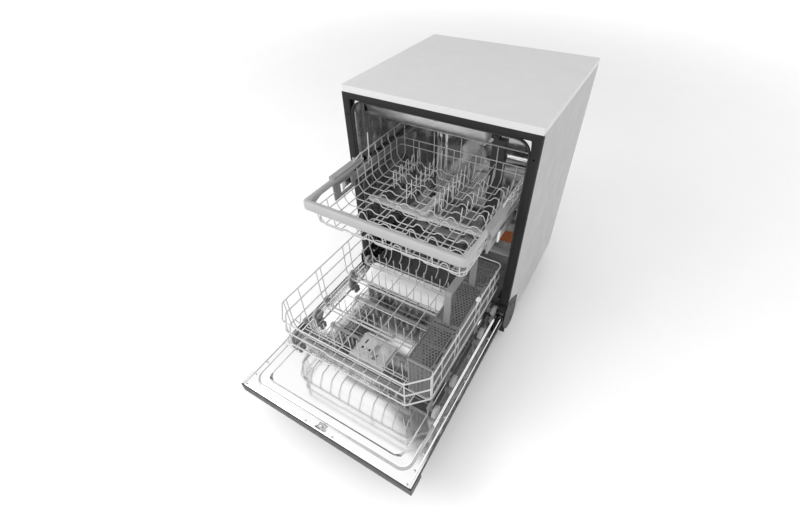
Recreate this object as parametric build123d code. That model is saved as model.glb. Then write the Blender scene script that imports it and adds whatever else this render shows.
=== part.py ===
from build123d import *
import os
from math import sqrt

# A front-loading dishwasher, modelled with its door lying open and both racks drawn out.
# Millimetres, +Z up, the floor at z = 0. While modelling, y = 0 is the front plane of the
# cabinet and -Y is where the user stands; write() then moves the origin to the middle of
# the whole footprint.

# ---- driving dimensions ----
WIDTH, HEIGHT, DEPTH = 598.0, 845.0, 570.0
TOP_T = 19.0                     # worktop slab
SKIN = 1.2                       # painted sheet steel
TUB_T = 1.0                      # stainless sheet of the tub
SIDE_BOTTOM = 70.0               # the side panels stop here, above the feet
CORNER_Y, CORNER_TOP = 125.0, 190.0  # a black plate takes their place at the lower front
CORNER_LOW, CORNER_R = 30.0, 18.0    # corners of the cabinet; its lower edge and its fillets
DOOR_REACH = 643.0               # how far the open door stands out from the cabinet
DOOR_FACE = 172.0                # height of the open door's inner face
DOOR_T = 30.0
CONSOLE_D, CONSOLE_T = 53.0, 45.0
HINGE = (-2.0, 172.0)            # y and z of the door's pivot
TUB_X, TUB_BACK = 269.0, 545.0   # inner faces of the tub
TUB_TOP, TUB_FLOOR = 800.0, 150.0
FRAME_X, FRAME_TOP = 275.0, 807.0

UPPER = dict(front=-290.0, back=222.0, x=250.0, rim_low=608.0, rim_top=636.0, floor=535.0)
LOWER = dict(front=-503.0, back=22.0, x=252.0, top=375.0, floor=215.0, chamfer=50.0)
LOWER_LOOP = 270.0               # height of the lowest loop, which the short front wires reach
FRONT_UPRIGHTS = (-212, -170, -130, -90, -54, -18, 26, 70, 108, 146, 190)
MIDDLE_UPRIGHT = 26              # the one that goes on up to the top loop
BASKET = dict(x=(166.0, 243.0), y=(-428.0, 10.0), z=(218.0, 368.0))
WHEEL_R, WHEEL_X = 19.0, (254.5, 265.5)
WHEEL_Y = (-440.0, -330.0, -130.0, -20.0)
HUB_Y, UPPER_HUB_Y = 285.0, -34.0  # axes of the two spray arms
FEED_Z = 524.5                   # where the upper rack's tube meets the feed duct
DUCT_Y, DOCK_Y = 529.5, 524.5    # fronts of the duct and of its docking spigot
GAP = 0.05                       # between wires that are welded where they cross
FIXED_ROWS = (-408.0, -60.0)     # rows of tines in the lower rack
FOLD_ROWS = {"fold_tine_row_front": -298.0, "fold_tine_row_rear": -145.0}
WHEELS = [f"lower_rack_wheels_{n}" for n in (1, 2, 3, 4)]
LIDS = {"basket_lid_front": (-428.0, -299.0), "basket_lid_rear": (-94.0, 10.0)}

# the liner of the open door: an outer flange, a raised track round it and a lower field
FLANGE_Z, FIELD_Z = 166.0, 169.0 # tops of the flange and the field; the track is at DOOR_FACE
TRACK_X, TRACK_END = 273.0, -616.0
FIELD_X, FIELD_END = 239.0, -590.0
RAMP_Y, RAMP_TOP = -104.0, 195.0 # a plate slopes up from here to the hinge end
SHEET = 1.0
BUTTONS = {"power_button": 165.0, "program_button": 200.0, "start_button": 235.0}
BUTTON_Y = -615.0

INLET, DRAIN, CABLE = (230.0, 112.0), (160.0, 90.0), (-170.0, 108.0)   # x and z at the rear
FILTER = (62.0, 178.0)

REAR_WALL = 545.0                # back wall of the base, which the hoses pass through
LINER_X = 292.0
FIXING_X, FIXING_Z = 286.0, (300.0, 760.0)
ORIGIN_Y = (DOOR_REACH - DEPTH) / 2
parts = {}


# ---- helpers ----
def block(x, y, z):
    """A box between three (low, high) pairs."""
    return Solid.make_box(x[1] - x[0], y[1] - y[0], z[1] - z[0], Plane((x[0], y[0], z[0])))


def rod(start, end, radius):
    start, end = Vector(*start), Vector(*end)
    return Solid.make_cylinder(radius, (end - start).length, Plane(start, z_dir=end - start))


def ring(start, end, outer, inner):
    return (rod(start, end, outer) - rod(start, end, inner)).solids()[0]


def one(shape):
    """The single solid that a boolean result must be."""
    solids = shape.solids()
    if len(solids) != 1:
        raise ValueError(f"expected one solid, found {len(solids)}")
    return solids[0]


def prism(points, x):
    """The solid between two x values with the given outline in y and z."""
    outline = Wire.make_polygon([Vector(x[0], y, z) for y, z in points], close=True)
    return Solid.extrude(Face(outline), Vector(x[1] - x[0], 0, 0))


def both(*shapes):
    """The shapes and their mirror images across x = 0."""
    return [*shapes, *(s.mirror(Plane.YZ) for s in shapes)]


def write(name, *shapes):
    solids = [s for shape in shapes for s in shape.solids()]
    parts[name] = Pos(0, ORIGIN_Y, 0) * (solids[0] if len(solids) == 1 else Compound(solids))


def spread(low, high, count):
    return [low + (high - low) * i / (count - 1) for i in range(count)]


def trimmed(a, b, cut_a, cut_b):
    """The points a and b brought towards each other by the two cuts."""
    a, b = Vector(*a), Vector(*b)
    way = (b - a).normalized()
    return tuple(a + way * cut_a), tuple(b - way * cut_b)


# ---- cabinet ----
def cabinet():
    half = WIDTH / 2
    top = block((-half, half), (0, DEPTH), (HEIGHT - TOP_T, HEIGHT))
    write("top_panel", fillet(top.edges().filter_by(Axis.Z), 2))
    side_z = (SIDE_BOTTOM, HEIGHT - TOP_T - 0.1)
    side = block((half - SKIN, half), (0.2, DEPTH - 1), side_z)
    corner = block((half - SKIN - 1, half + 1), (-1, CORNER_Y), (0, CORNER_TOP))
    write("side_panels", *both(one(side - corner)))
    inner = half - SKIN - 0.3
    write("back_panel",
          block((-inner, inner), (DEPTH - 2.4, DEPTH - 1.2), (150, HEIGHT - TOP_T - 0.1)))

    # the painted frame round the tub mouth, with a moulded cover over each door hinge and a
    # plate that closes each side below it
    upright = block((FRAME_X, inner), (0, 12), (200, FRAME_TOP - 0.1))
    for z in FIXING_Z:
        upright = upright - rod((FIXING_X, -1, z), (FIXING_X, 13, z), 2.5)
    head = block((-inner, inner), (0, 12), (FRAME_TOP, HEIGHT - TOP_T - 0.1))
    sill = block((-FRAME_X, FRAME_X), (0, 7), (128, DOOR_FACE - 24))
    cover = block((276, 296.5), (-13, -0.1), (190, 214))
    plate = block((half - SKIN, half), (-8, CORNER_Y - 0.5), (CORNER_LOW, CORNER_TOP - 0.5))
    plate = fillet(plate.edges().filter_by(Axis.X), CORNER_R)
    write("front_frame", *both(one(upright), cover, plate), head, sill)
    seal_x = (TUB_X + 0.4, FRAME_X - 0.2)
    write("door_seals",
          *both(block(seal_x, (0.5, 10), (175, FRAME_TOP - 7))),
          block((-seal_x[1], seal_x[1]), (0.5, 10), (FRAME_TOP - 6.8, FRAME_TOP - 0.2)),
          block((-264, 264), (-7, -0.5), (136, DOOR_FACE - 24)))

    # plastic base with its counterweight, recessed kick plate and four threaded feet
    floor = block((-inner, inner), (66, REAR_WALL + 3), (62, 66))
    rims = both(block((inner - 3, inner), (66, REAR_WALL + 3), (66.05, 116)))
    rear = block((3 - inner - 0.05, inner - 3.05), (REAR_WALL, REAR_WALL + 3), (66.05, 146))
    for (x, z), r in zip((INLET, DRAIN, CABLE), (14.8, 11.0, 6.5)):
        rear = rear - rod((x, REAR_WALL - 1, z), (x, REAR_WALL + 4, z), r)
    write("base_tray", floor, *rims, one(rear))
    write("counterweight", block((-190, 190), (462, 478), (66.2, 90)),
          block((-100, 190), (478.1, 492), (66.2, 90)))
    write("toe_kick", block((-294, 294), (52, 55), (9, 124)))
    write("levelling_feet", *[
        one(rod((x, y, 0), (x, y, 9), 17) + rod((x, y, 8.5), (x, y, 61.9), 5))
        for x in (-262, 262) for y in (80, 525)])


def tub():
    wall = (TUB_X, TUB_X + TUB_T)
    deep = (12.2, TUB_BACK)
    write("tub_shell",
          *both(block(wall, deep, (TUB_FLOOR, TUB_TOP + TUB_T))),
          block((-TUB_X, TUB_X), deep, (TUB_TOP, TUB_TOP + TUB_T)),
          block((-TUB_X, TUB_X), (TUB_BACK - TUB_T, TUB_BACK), (TUB_FLOOR, TUB_TOP)))
    # floor sheet with the opening over the sump, as four plates round it
    x1, y0, y1, z = 105, 120, 350, (TUB_FLOOR - TUB_T, TUB_FLOOR)
    lip = block((-TUB_X, TUB_X), (7.2, 12.1), (DOOR_FACE - 24, TUB_FLOOR))
    write("tub_floor", lip,
          block((-TUB_X, TUB_X), (12.2, y0), z), block((-TUB_X, TUB_X), (y1, TUB_BACK), z),
          *both(block((x1, TUB_X), (y0, y1), z)))
    bowl = block((-120, 120), (105, 365), (90, TUB_FLOOR - TUB_T - 0.1))
    hollow = block((-100, 100), (125, 345), (98, 160))
    arm_seat = one(rod((0, HUB_Y, 98.1), (0, HUB_Y, 168), 20)
                   + rod((0, HUB_Y, 167), (0, HUB_Y, 196), 7))
    write("sump", one(bowl - hollow), arm_seat)
    x, y = FILTER
    plate = block((-104.5, 104.5), (120.5, 349.5), (TUB_FLOOR - 1, TUB_FLOOR))
    cup, seat = rod((x, y, 140), (x, y, 160), 38), rod((0, HUB_Y, 140), (0, HUB_Y, 160), 22)
    write("filter_plate", one(plate - cup - seat))
    body = rod((x, y, 99), (x, y, 152), 36)
    collar = rod((x, y, TUB_FLOOR + 0.4), (x, y, 157), 43)
    grip = block((x - 27, x + 27), (y - 3.5, y + 3.5), (156.5, 169))
    write("filter_cartridge", one(body + collar + grip))
    back = TUB_BACK - TUB_T - 0.2
    riser = block((-8, 46), (DUCT_Y, back), (TUB_FLOOR + 3, 515))
    upright = block((-16, 16), (DUCT_Y + 1.5, back), (514, 782))
    dock = rod((0, DUCT_Y + 2.5, FEED_Z), (0, DOCK_Y, FEED_Z), 9)
    write("water_feed_duct", one(riser + upright + dock),
          block((-20, 18), (250, back), (782.1, TUB_TOP - 0.2)),
          rod((0, 270, 770), (0, 270, 782), 30))
    write("lower_rack_tracks", *both(
        block((TUB_X - 17, TUB_X - 0.2), (14, 540), (DOOR_FACE - 5, DOOR_FACE - 0.3)),
        block((TUB_X - 17, TUB_X - 0.2), (14, 540), (214, 218))))
    write("latch_striker", one(
        block((-22, 22), (13, 31), (TUB_TOP - 2.2, TUB_TOP - 0.2))
        + block((-6, 6), (16, 20), (TUB_TOP - 11, TUB_TOP - 2))))
    write("upper_rails_fixed", *both(
        block((265.5, TUB_X - 0.2), (13, 500), (560, 596)),
        block((261, 265.4), (13, 500), (592.5, 596)),
        block((261, 265.4), (13, 500), (560, 563.5))))
    write("floor_label", block((118, 178), (392, 462), (TUB_FLOOR + 0.1, TUB_FLOOR + 0.7)))


def services():
    """What stands under and beside the tub."""
    write("circulation_pump",
          one(rod((-60, 410, 103), (60, 410, 103), 34) + rod((-86, 410, 103), (-59, 410, 103), 24)),
          rod((-170, 180, 98), (-170, 330, 98), 22))
    write("drain_pump", one(rod((150, 250, 100), (150, 330, 100), 25)
                            + rod((150, 329, 100), (150, 350, 100), 18)))
    x, z = INLET
    valve = block((x - 25, x + 25), (500, 536), (z - 22, z + 22))
    nut = rod((x, 535, z), (x, REAR_WALL - 0.4, z), 18)
    write("inlet_valve", one(valve + nut + rod((x, 540, z), (x, DEPTH - 2, z), 13.2)))
    x, z = DRAIN
    write("drain_connector", one(rod((x, 505, z), (x, REAR_WALL - 0.4, z), 13)
                                 + rod((x, 540, z), (x, DEPTH - 2, z), 9.5)))
    write("air_break_chamber", block((-294, -273), (200, 460), (260, 640)))
    x, z = CABLE
    write("junction_box", block((x - 45, x + 45), (500, REAR_WALL - 0.4), (z - 24, z + 26)))
    ears = [block(x, (-11, 60), (140, 184)) for x in ((279, 283), (289.4, 293.4))]
    bore = rod((270, *HINGE), (300, *HINGE), 5.0 + GAP)
    write("hinge_brackets", *both(*(one(e - bore) for e in ears),
                                  block((283.1, 289.3), (40, 60), (140, 184)),
                                  rod((278, *HINGE), (295, *HINGE), 5.0)))
    write("door_springs", *both(rod((286, 110, 128), (286, 300, 128), 8)))


# ---- door, lying open ----
def pan(half, end, rear, z, top):
    """A flat-bottomed pan's rim: an upright wall round three sides, one sheet thick."""
    outer = block((-half, half), (end, rear), (z, top))
    return outer - block((SHEET - half, half - SHEET), (end + SHEET, rear + 1), (z - 1, top + 1))


def liner(rear):
    """The pressed steel inner sheet, open at its rear end like the door itself."""
    flange = block((-LINER_X, LINER_X), (-640, rear), (FLANGE_Z - SHEET, FLANGE_Z))
    track = block((-TRACK_X, TRACK_X), (TRACK_END, rear), (DOOR_FACE - SHEET, DOOR_FACE))
    field = block((-FIELD_X, FIELD_X), (FIELD_END, rear), (FIELD_Z - SHEET, FIELD_Z))
    flange = flange - block((SHEET - TRACK_X, TRACK_X - SHEET), (TRACK_END + SHEET, rear + 1),
                            (FLANGE_Z - 9, FLANGE_Z + 9))
    track = track - block((SHEET - FIELD_X, FIELD_X - SHEET), (FIELD_END + SHEET, rear + 1),
                          (DOOR_FACE - 9, DOOR_FACE + 9))
    outer_wall = pan(TRACK_X, TRACK_END, rear, FLANGE_Z - SHEET, DOOR_FACE)
    inner_wall = pan(FIELD_X, FIELD_END, rear, FIELD_Z - SHEET, DOOR_FACE)
    return flange + outer_wall + track + inner_wall + field


def ramp_plate(rear):
    """A folded plate on the liner's field, sloping up to the hinge end."""
    side, low = FIELD_X - SHEET, FIELD_Z + GAP
    slope = prism([(RAMP_Y, low), (rear, RAMP_TOP - SHEET), (rear, RAMP_TOP),
                   (RAMP_Y, low + SHEET)], (-side, side))
    cheek = prism([(RAMP_Y, low), (rear, low), (rear, RAMP_TOP)], (side - SHEET, side))
    return one(slope + cheek + cheek.mirror(Plane.YZ))


def door():
    rear, face = -14.0, DOOR_FACE
    well = block((-74, 48), (-394, -300), (face - 60, face + 10))
    slot = block((-13, 13), (-633, -611), (face - 20, face + 2))
    write("door_liner", one(liner(rear) - well - slot), ramp_plate(rear))

    skin_low, hem_top = face - DOOR_T, FLANGE_Z
    split = -DOOR_REACH + CONSOLE_D
    sheet = block((-297, 297), (split, rear), (skin_low, skin_low + SHEET))
    hems = both(block((296, 297), (split, rear), (skin_low + SHEET, hem_top)))
    cheeks = both(block((LINER_X + 0.1, 296), (split, rear), (hem_top - SHEET, hem_top)))
    write("door_outer_panel", one(sheet + hems[0] + hems[1] + cheeks[0] + cheeks[1]))
    pad = block((-276, 276), (split + 6, rear - 6), (skin_low + 2, face - 12))
    write("door_insulation", one(pad - well))

    low = face - CONSOLE_T
    console = block((-299, 299), (-DOOR_REACH, split - 0.2), (low, FLANGE_Z - SHEET - 0.1))
    lip = block((-299, 299), (-DOOR_REACH, -640.2), (low, FLANGE_Z))
    console = one(console + lip)
    console = fillet(console.edges().filter_by(Axis.X).sort_by(Axis.Z)[0:1], 3)
    pocket = block((-75, 75), (-628, -601), (low - 1, low + 24))
    console = console - pocket
    for x in BUTTONS.values():
        console = console - rod((x, BUTTON_Y, low - 1), (x, BUTTON_Y, low + 9), 8.4)
    window = block((-215, -125), (-627, -603), (low - 1, low + 2))
    bolt = block((-15, 15), (-634, -604), (face - 18, face + 1))
    write("control_console", one(console - window - bolt))
    write("display_window", block((-214.7, -125.3), (-626.7, -603.3), (low + 0.2, low + 1.9)))
    for name, x in BUTTONS.items():
        write(name, rod((x, BUTTON_Y, low - 1.6), (x, BUTTON_Y, low + 5.5), 8))
    write("door_latch", one(block((-12, 12), (-631, -613), (face - 14, face - 1.3))
                            + block((-5, 5), (-630, -622), (face - 1.4, face + 7))))

    arm = block((284, 288.4), (-204, 3), (face - 26, FLANGE_Z - SHEET - 0.5))
    eye = rod((284, *HINGE), (288.4, *HINGE), 10)
    arm = arm + eye - rod((280, *HINGE), (292, *HINGE), 5.0 + GAP)
    write("door_hinge_arms", *both(one(arm)))
    heads = [(x, y) for y in (-635, -597, -548, -430, -300, -120) for x in (-284, 284)]
    heads += [(-51, -635), (44, -635)]
    write("door_screws", *[rod((x, y, FLANGE_Z + 0.05), (x, y, FLANGE_Z + 1.6), 3.6)
                           for x, y in heads])

    # detergent dispenser: body with two open cups, sliding lid, rinse-aid cap
    case = block((-73.7, 47.7), (-393.7, -300.3), (face - 27, face + 3))
    cup = block((-64, -6), (-384, -312), (face - 20, face + 4))
    rinse = rod((22, -330, face - 20), (22, -330, face + 4), 17.3)
    write("dispenser_body", one(case - cup - rinse))
    write("dispenser_lid", one(block((-68, -2), (-388, -308), (face + 3.3, face + 8))
                               + block((-8, -3), (-370, -326), (face + 7.9, face + 11))))
    write("rinse_aid_cap", one(rod((22, -330, face - 12), (22, -330, face + 5), 17)
                               + block((8, 36), (-332.5, -327.5), (face + 4.5, face + 9))))


# ---- upper rack ----
def upper_rack():
    u = UPPER
    x, front, back = u["x"], u["front"], u["back"]
    r_wall, r_floor = 1.9, 1.6
    bar = block((-x, x), (front, front + 20), (u["rim_low"], u["rim_top"]))
    arm = block((x - 14, x), (front + 20.1, -10), (u["rim_top"] - 20, u["rim_top"]))
    write("upper_rack_rim", bar, *both(arm))

    rim_y = front + 20
    rear_top = u["rim_top"] + 8
    rows = []
    for z in (u["rim_top"] - 24, 562):
        rows += both(rod((x - 5, rim_y + 1, z), (x - 5, back - 5, z), r_wall))
    plate_y = (-156, -52)
    for y in ((rim_y + 1, plate_y[0] + 8), (plate_y[1] - 8, back - 5)):
        rows += both(rod((x - 5, y[0], 590), (x - 5, y[1], 590), r_wall))
    for z in (rear_top, 600, 562):
        rows.append(rod((-x + 8, back - r_wall, z), (x - 8, back - r_wall, z), r_wall))
    rows.append(rod((-x + 8, rim_y + 4, 562), (x - 8, rim_y + 4, 562), r_wall))
    post_x = x - 5 - r_wall - r_floor - GAP
    for y in spread(rim_y + 16, back - 16, 11):
        if -130 < y < -66:      # none behind the finger windows
            continue
        rows += both(rod((post_x, y, u["floor"] - 3), (post_x, y, u["rim_top"] - 22), r_floor))
    post_y = back - 2 * r_wall - r_floor - GAP
    for px in spread(-210, 210, 11):
        rows.append(rod((px, post_y, u["floor"] - 3), (px, post_y, rear_top + 1), r_floor))
        if abs(px) > 1:
            rows.append(rod((px, rim_y + 8, u["floor"] - 3),
                            (px, rim_y + 8, u["rim_low"] - 2), r_floor))

    z_long, z_cross = u["floor"], u["floor"] - 2 * r_floor - GAP
    long_wires = [rod((px, rim_y + 12, z_long), (px, post_y - 3, z_long), r_floor)
                  for px in spread(-208, 208, 9)]
    cross_wires = [rod((-post_x + 3, y, z_cross), (post_x - 3, y, z_cross), r_floor)
                   for y in spread(rim_y + 30, back - 30, 8)]

    tines = []
    foot = z_long + r_floor + GAP
    for px in spread(-156, 156, 4):
        for y in spread(rim_y + 46, back - 40, 9):
            tines.append(rod((px, y, foot), (px, y, foot + 68), 1.5))
    write("upper_rack_wires", *rows, *long_wires, *cross_wires, *tines)

    # height adjusters: one plate each side with a finger window and the rollers' carrier
    plate = block((x - 2.8, x + 1.2), plate_y, (554, 615.8))
    window = block((x - 4, x + 3), (-128, -70), (566, 600))
    carrier = block((x + 1.3, x + 5.7), (-66, 210), (567, 589))
    write("rack_adjusters", *both(one(plate - window), carrier))
    write("rail_sliders", *both(block((256.2, 260.6), (-96, 330), (564.2, 592)),
                                block((256.2, 260.6), (-106, -96.1), (561, 595))))

    tube = block((-14, 14), (UPPER_HUB_Y - 18, back), (FEED_Z - 5, FEED_Z + 4.9))
    hub = rod((0, UPPER_HUB_Y, 500), (0, UPPER_HUB_Y, FEED_Z - 4.9), 7)
    write("upper_feed_tube", one(tube + hub))
    write("upper_spray_arm", spray_arm(UPPER_HUB_Y, 505, 516, 212, 7 + GAP))


def spray_arm(y, low, high, reach, bore):
    """A flat arm along X with rounded ends and a hub, on a vertical axis at y."""
    blade = block((-reach + 20, reach - 20), (y - 20, y + 20), (low, high))
    tips = [rod((s * (reach - 20), y, low), (s * (reach - 20), y, high), 20) for s in (-1, 1)]
    hub = rod((0, y, low - 1), (0, y, high + 2.5), 26)
    return one(blade + tips[0] + tips[1] + hub - rod((0, y, low - 5), (0, y, high + 5), bore))


# ---- lower rack ----
def loop_wires(z, r, inset=0.0):
    """A six-sided wire loop at height z, its two front corners cut off."""
    x, front, back = LOWER["x"] - r - inset, LOWER["front"] + r + inset, LOWER["back"] - r - inset
    c = LOWER["chamfer"]
    square, slant = r + GAP, r * (sqrt(2) - 1) + GAP
    right = rod(*trimmed((x, back, z), (x, front + c, z), square, slant), r)
    corner = rod(*trimmed((x, front + c, z), (x - c, front, z), slant, slant), r)
    near = rod(*trimmed((x - c, front, z), (c - x, front, z), slant, slant), r)
    far = rod(*trimmed((-x, back, z), (x, back, z), square, square), r)
    return [near, far, *both(right, corner)]


def lower_rack():
    w = LOWER
    r_loop, r_wire = 2.2, 1.7
    walls = []
    for z in (w["top"] - r_loop, 322, LOWER_LOOP):
        walls += loop_wires(z, r_loop)
    foot = w["floor"] - 2
    inner_x = w["x"] - 2 * r_loop - r_wire - GAP
    inner_y = w["front"] + 2 * r_loop + r_wire + GAP
    rear_y = w["back"] - 2 * r_loop - r_wire - GAP
    for y in (-436, -385, -302, -281, -165, -132, -62, -20):
        walls += both(rod((inner_x, y, foot), (inner_x, y, w["top"] - 1), r_wire))
    for px in FRONT_UPRIGHTS:
        high = w["top"] - 1 if px == MIDDLE_UPRIGHT else LOWER_LOOP + 4
        walls.append(rod((px, inner_y, foot), (px, inner_y, high), r_wire))
    for px in spread(-185, 185, 9):
        walls.append(rod((px, rear_y, foot), (px, rear_y, w["top"] - 1), r_wire))

    z_long, z_cross = w["floor"], w["floor"] - 2 * r_wire - GAP
    long_wires = [rod((px, inner_y + 4, z_long), (px, rear_y - 4, z_long), r_wire)
                  for px in (-208, -170, -90, -18, 70, 146, 208)]
    cross_wires = [rod((-inner_x + 4, y, z_cross), (inner_x - 4, y, z_cross), r_wire)
                   for y in (-430, -400, -307, -290, -223, -154, -130, -62, -24)]

    # fixed rows: a base wire on the floor wires, with straight tines standing on it
    base = z_long + r_wire + r_wire + GAP
    fixed = []
    for y in FIXED_ROWS:
        fixed.append(rod((-225, y, base), (158, y, base), r_wire))
        for px in spread(-212, 148, 13):
            fixed.append(rod((px, y, base + r_wire + GAP), (px, y, base + 78), 1.5))
    write("lower_rack_wires", *walls, *long_wires, *cross_wires, *fixed)
    for name, y in FOLD_ROWS.items():
        write(name, *fold_row(y, base + 1.2))
    clips = []
    for y in FOLD_ROWS.values():
        for px in (-231, -110.5, 33.5, 152.5):
            clip = block((px - 3.5, px + 3.5), (y - 6, y + 6), (z_long + r_wire + GAP, base + 7))
            shaft = rod((px - 5, y, base + 1.2), (px + 5, y, base + 1.2), 2.0 + GAP)
            clips.append(one(clip - shaft))

    axle_z = DOOR_FACE + 0.3 + WHEEL_R
    for name, y in zip(WHEELS, WHEEL_Y):
        wheel = ring((WHEEL_X[0], y, axle_z), (WHEEL_X[1], y, axle_z), WHEEL_R, 4 + GAP)
        write(name, *both(wheel))
    for y in WHEEL_Y:
        leg = block((240.5, 244), (y - 15, y + 15), (axle_z - 9, w["floor"] - 7))
        pin = rod((243.9, y, axle_z), (WHEEL_X[1] + 1, y, axle_z), 4)
        clips += both(one(leg + pin))
    write("lower_rack_clips", *clips)


def fold_row(y, z):
    """A turning base wire with its tines, which folds towards the back."""
    shaft = rod((-236, y, z), (157, y, z), 2.0)
    row = [shaft]
    for px in spread(-205, 129, 13):
        row.append(rod((px, y, z + 2.0 + GAP), (px, y, z + 70), 1.5))
    return row


def cutlery_basket():
    (x0, x1), (y0, y1), (z0, z1) = BASKET["x"], BASKET["y"], BASKET["z"]
    t = 2.0
    floor = block((x0, x1), (y0, y1), (z0, z0 + t))
    sides = [block(x, (y0, y1), (z0 + t + GAP, z1)) for x in ((x0, x0 + t), (x1 - t, x1))]
    inner = (x0 + t + GAP, x1 - t - GAP)
    walls = [block(inner, (y - t / 2, y + t / 2), (z0 + t + GAP, z1))
             for y in spread(y0 + t / 2, y1 - t / 2, 7)]
    write("cutlery_basket", floor, *sides, *walls)
    mid = (x0 + x1) / 2
    leg_y, top = (-281.0, -112.0), 497.0
    strap = [block((mid - 9, mid + 9), (y - 3, y + 3), (z1 + 5.35, top - 6.05)) for y in leg_y]
    strap.append(block((mid - 9, mid + 9), (leg_y[0] - 3, leg_y[1] + 3), (top - 6, top)))
    strap.append(block((x0, x1), (-298, -95), (z1 + 0.3, z1 + 5.3)))
    write("basket_handle", *strap)
    for name, y in LIDS.items():
        lid = block((x0, x1 - 5), y, (z1 + 0.3, z1 + 3.3))
        hinge = rod((x1 - 2.5, y[0], z1 + 3), (x1 - 2.5, y[1], z1 + 3), 2.2)
        write(name, one(lid + hinge + block((x1 - 6, x1 - 3), y, (z1 + 1.2, z1 + 3.3))))


def lower_arm():
    write("lower_spray_arm", spray_arm(HUB_Y, 177, 189, 225, 7 + GAP))


cabinet()
tub()
services()
door()
upper_rack()
lower_rack()
cutlery_basket()
lower_arm()

os.makedirs("parts", exist_ok=True)
for name, shape in parts.items():
    export_step(shape, f"parts/{name}.step")
print(len(parts), "parts")
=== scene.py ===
from collections import namedtuple
from math import atan2, ceil, cos, pi, radians, sin, sqrt

import bmesh
import bpy
from mathutils import Matrix, Vector


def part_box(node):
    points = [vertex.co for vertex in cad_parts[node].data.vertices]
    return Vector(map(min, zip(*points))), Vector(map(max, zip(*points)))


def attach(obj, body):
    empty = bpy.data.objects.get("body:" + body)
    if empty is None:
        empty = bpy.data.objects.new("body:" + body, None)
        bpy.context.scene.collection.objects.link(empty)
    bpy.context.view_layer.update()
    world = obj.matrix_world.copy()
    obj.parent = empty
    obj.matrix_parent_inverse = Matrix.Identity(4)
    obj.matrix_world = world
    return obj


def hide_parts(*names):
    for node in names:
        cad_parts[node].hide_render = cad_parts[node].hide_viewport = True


# A dishwasher with its door lying open and both racks out. Every size below is in millimetres
# in the frame's own axes: +X right, +Y to the back, +Z up. Pieces are placed from the frame's
# nodes, and MM turns them into metres as each mesh is made.
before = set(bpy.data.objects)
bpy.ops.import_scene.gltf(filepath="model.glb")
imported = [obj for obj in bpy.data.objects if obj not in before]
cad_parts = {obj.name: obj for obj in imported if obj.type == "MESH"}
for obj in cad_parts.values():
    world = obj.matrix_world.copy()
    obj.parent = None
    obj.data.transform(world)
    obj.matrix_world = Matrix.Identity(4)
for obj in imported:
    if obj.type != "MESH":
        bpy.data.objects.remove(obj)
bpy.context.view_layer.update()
MM = 0.001


class Box(namedtuple("Box", "x0 x1 y0 y1 z0 z1")):
    """A node's box, with its three spans and the middle of each."""
    x = property(lambda b: (b.x0, b.x1))
    y = property(lambda b: (b.y0, b.y1))
    z = property(lambda b: (b.z0, b.z1))
    mid_x = property(lambda b: (b.x0 + b.x1) / 2)
    mid_y = property(lambda b: (b.y0 + b.y1) / 2)
    mid_z = property(lambda b: (b.z0 + b.z1) / 2)


def box(node):
    low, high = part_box(node)
    return Box(*(v / MM for pair in zip(low, high) for v in pair))


TOP = box("top_panel")
FRONT, BACK = TOP.y0, TOP.y1        # front and rear planes of the cabinet
TUB = box("tub_shell")
LINER = box("door_liner")._replace(z1=172.0)    # its track; the ramp behind it stands higher
RIM = box("upper_rack_rim")
BASKET = box("cutlery_basket")
FEET = box("levelling_feet")


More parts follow.
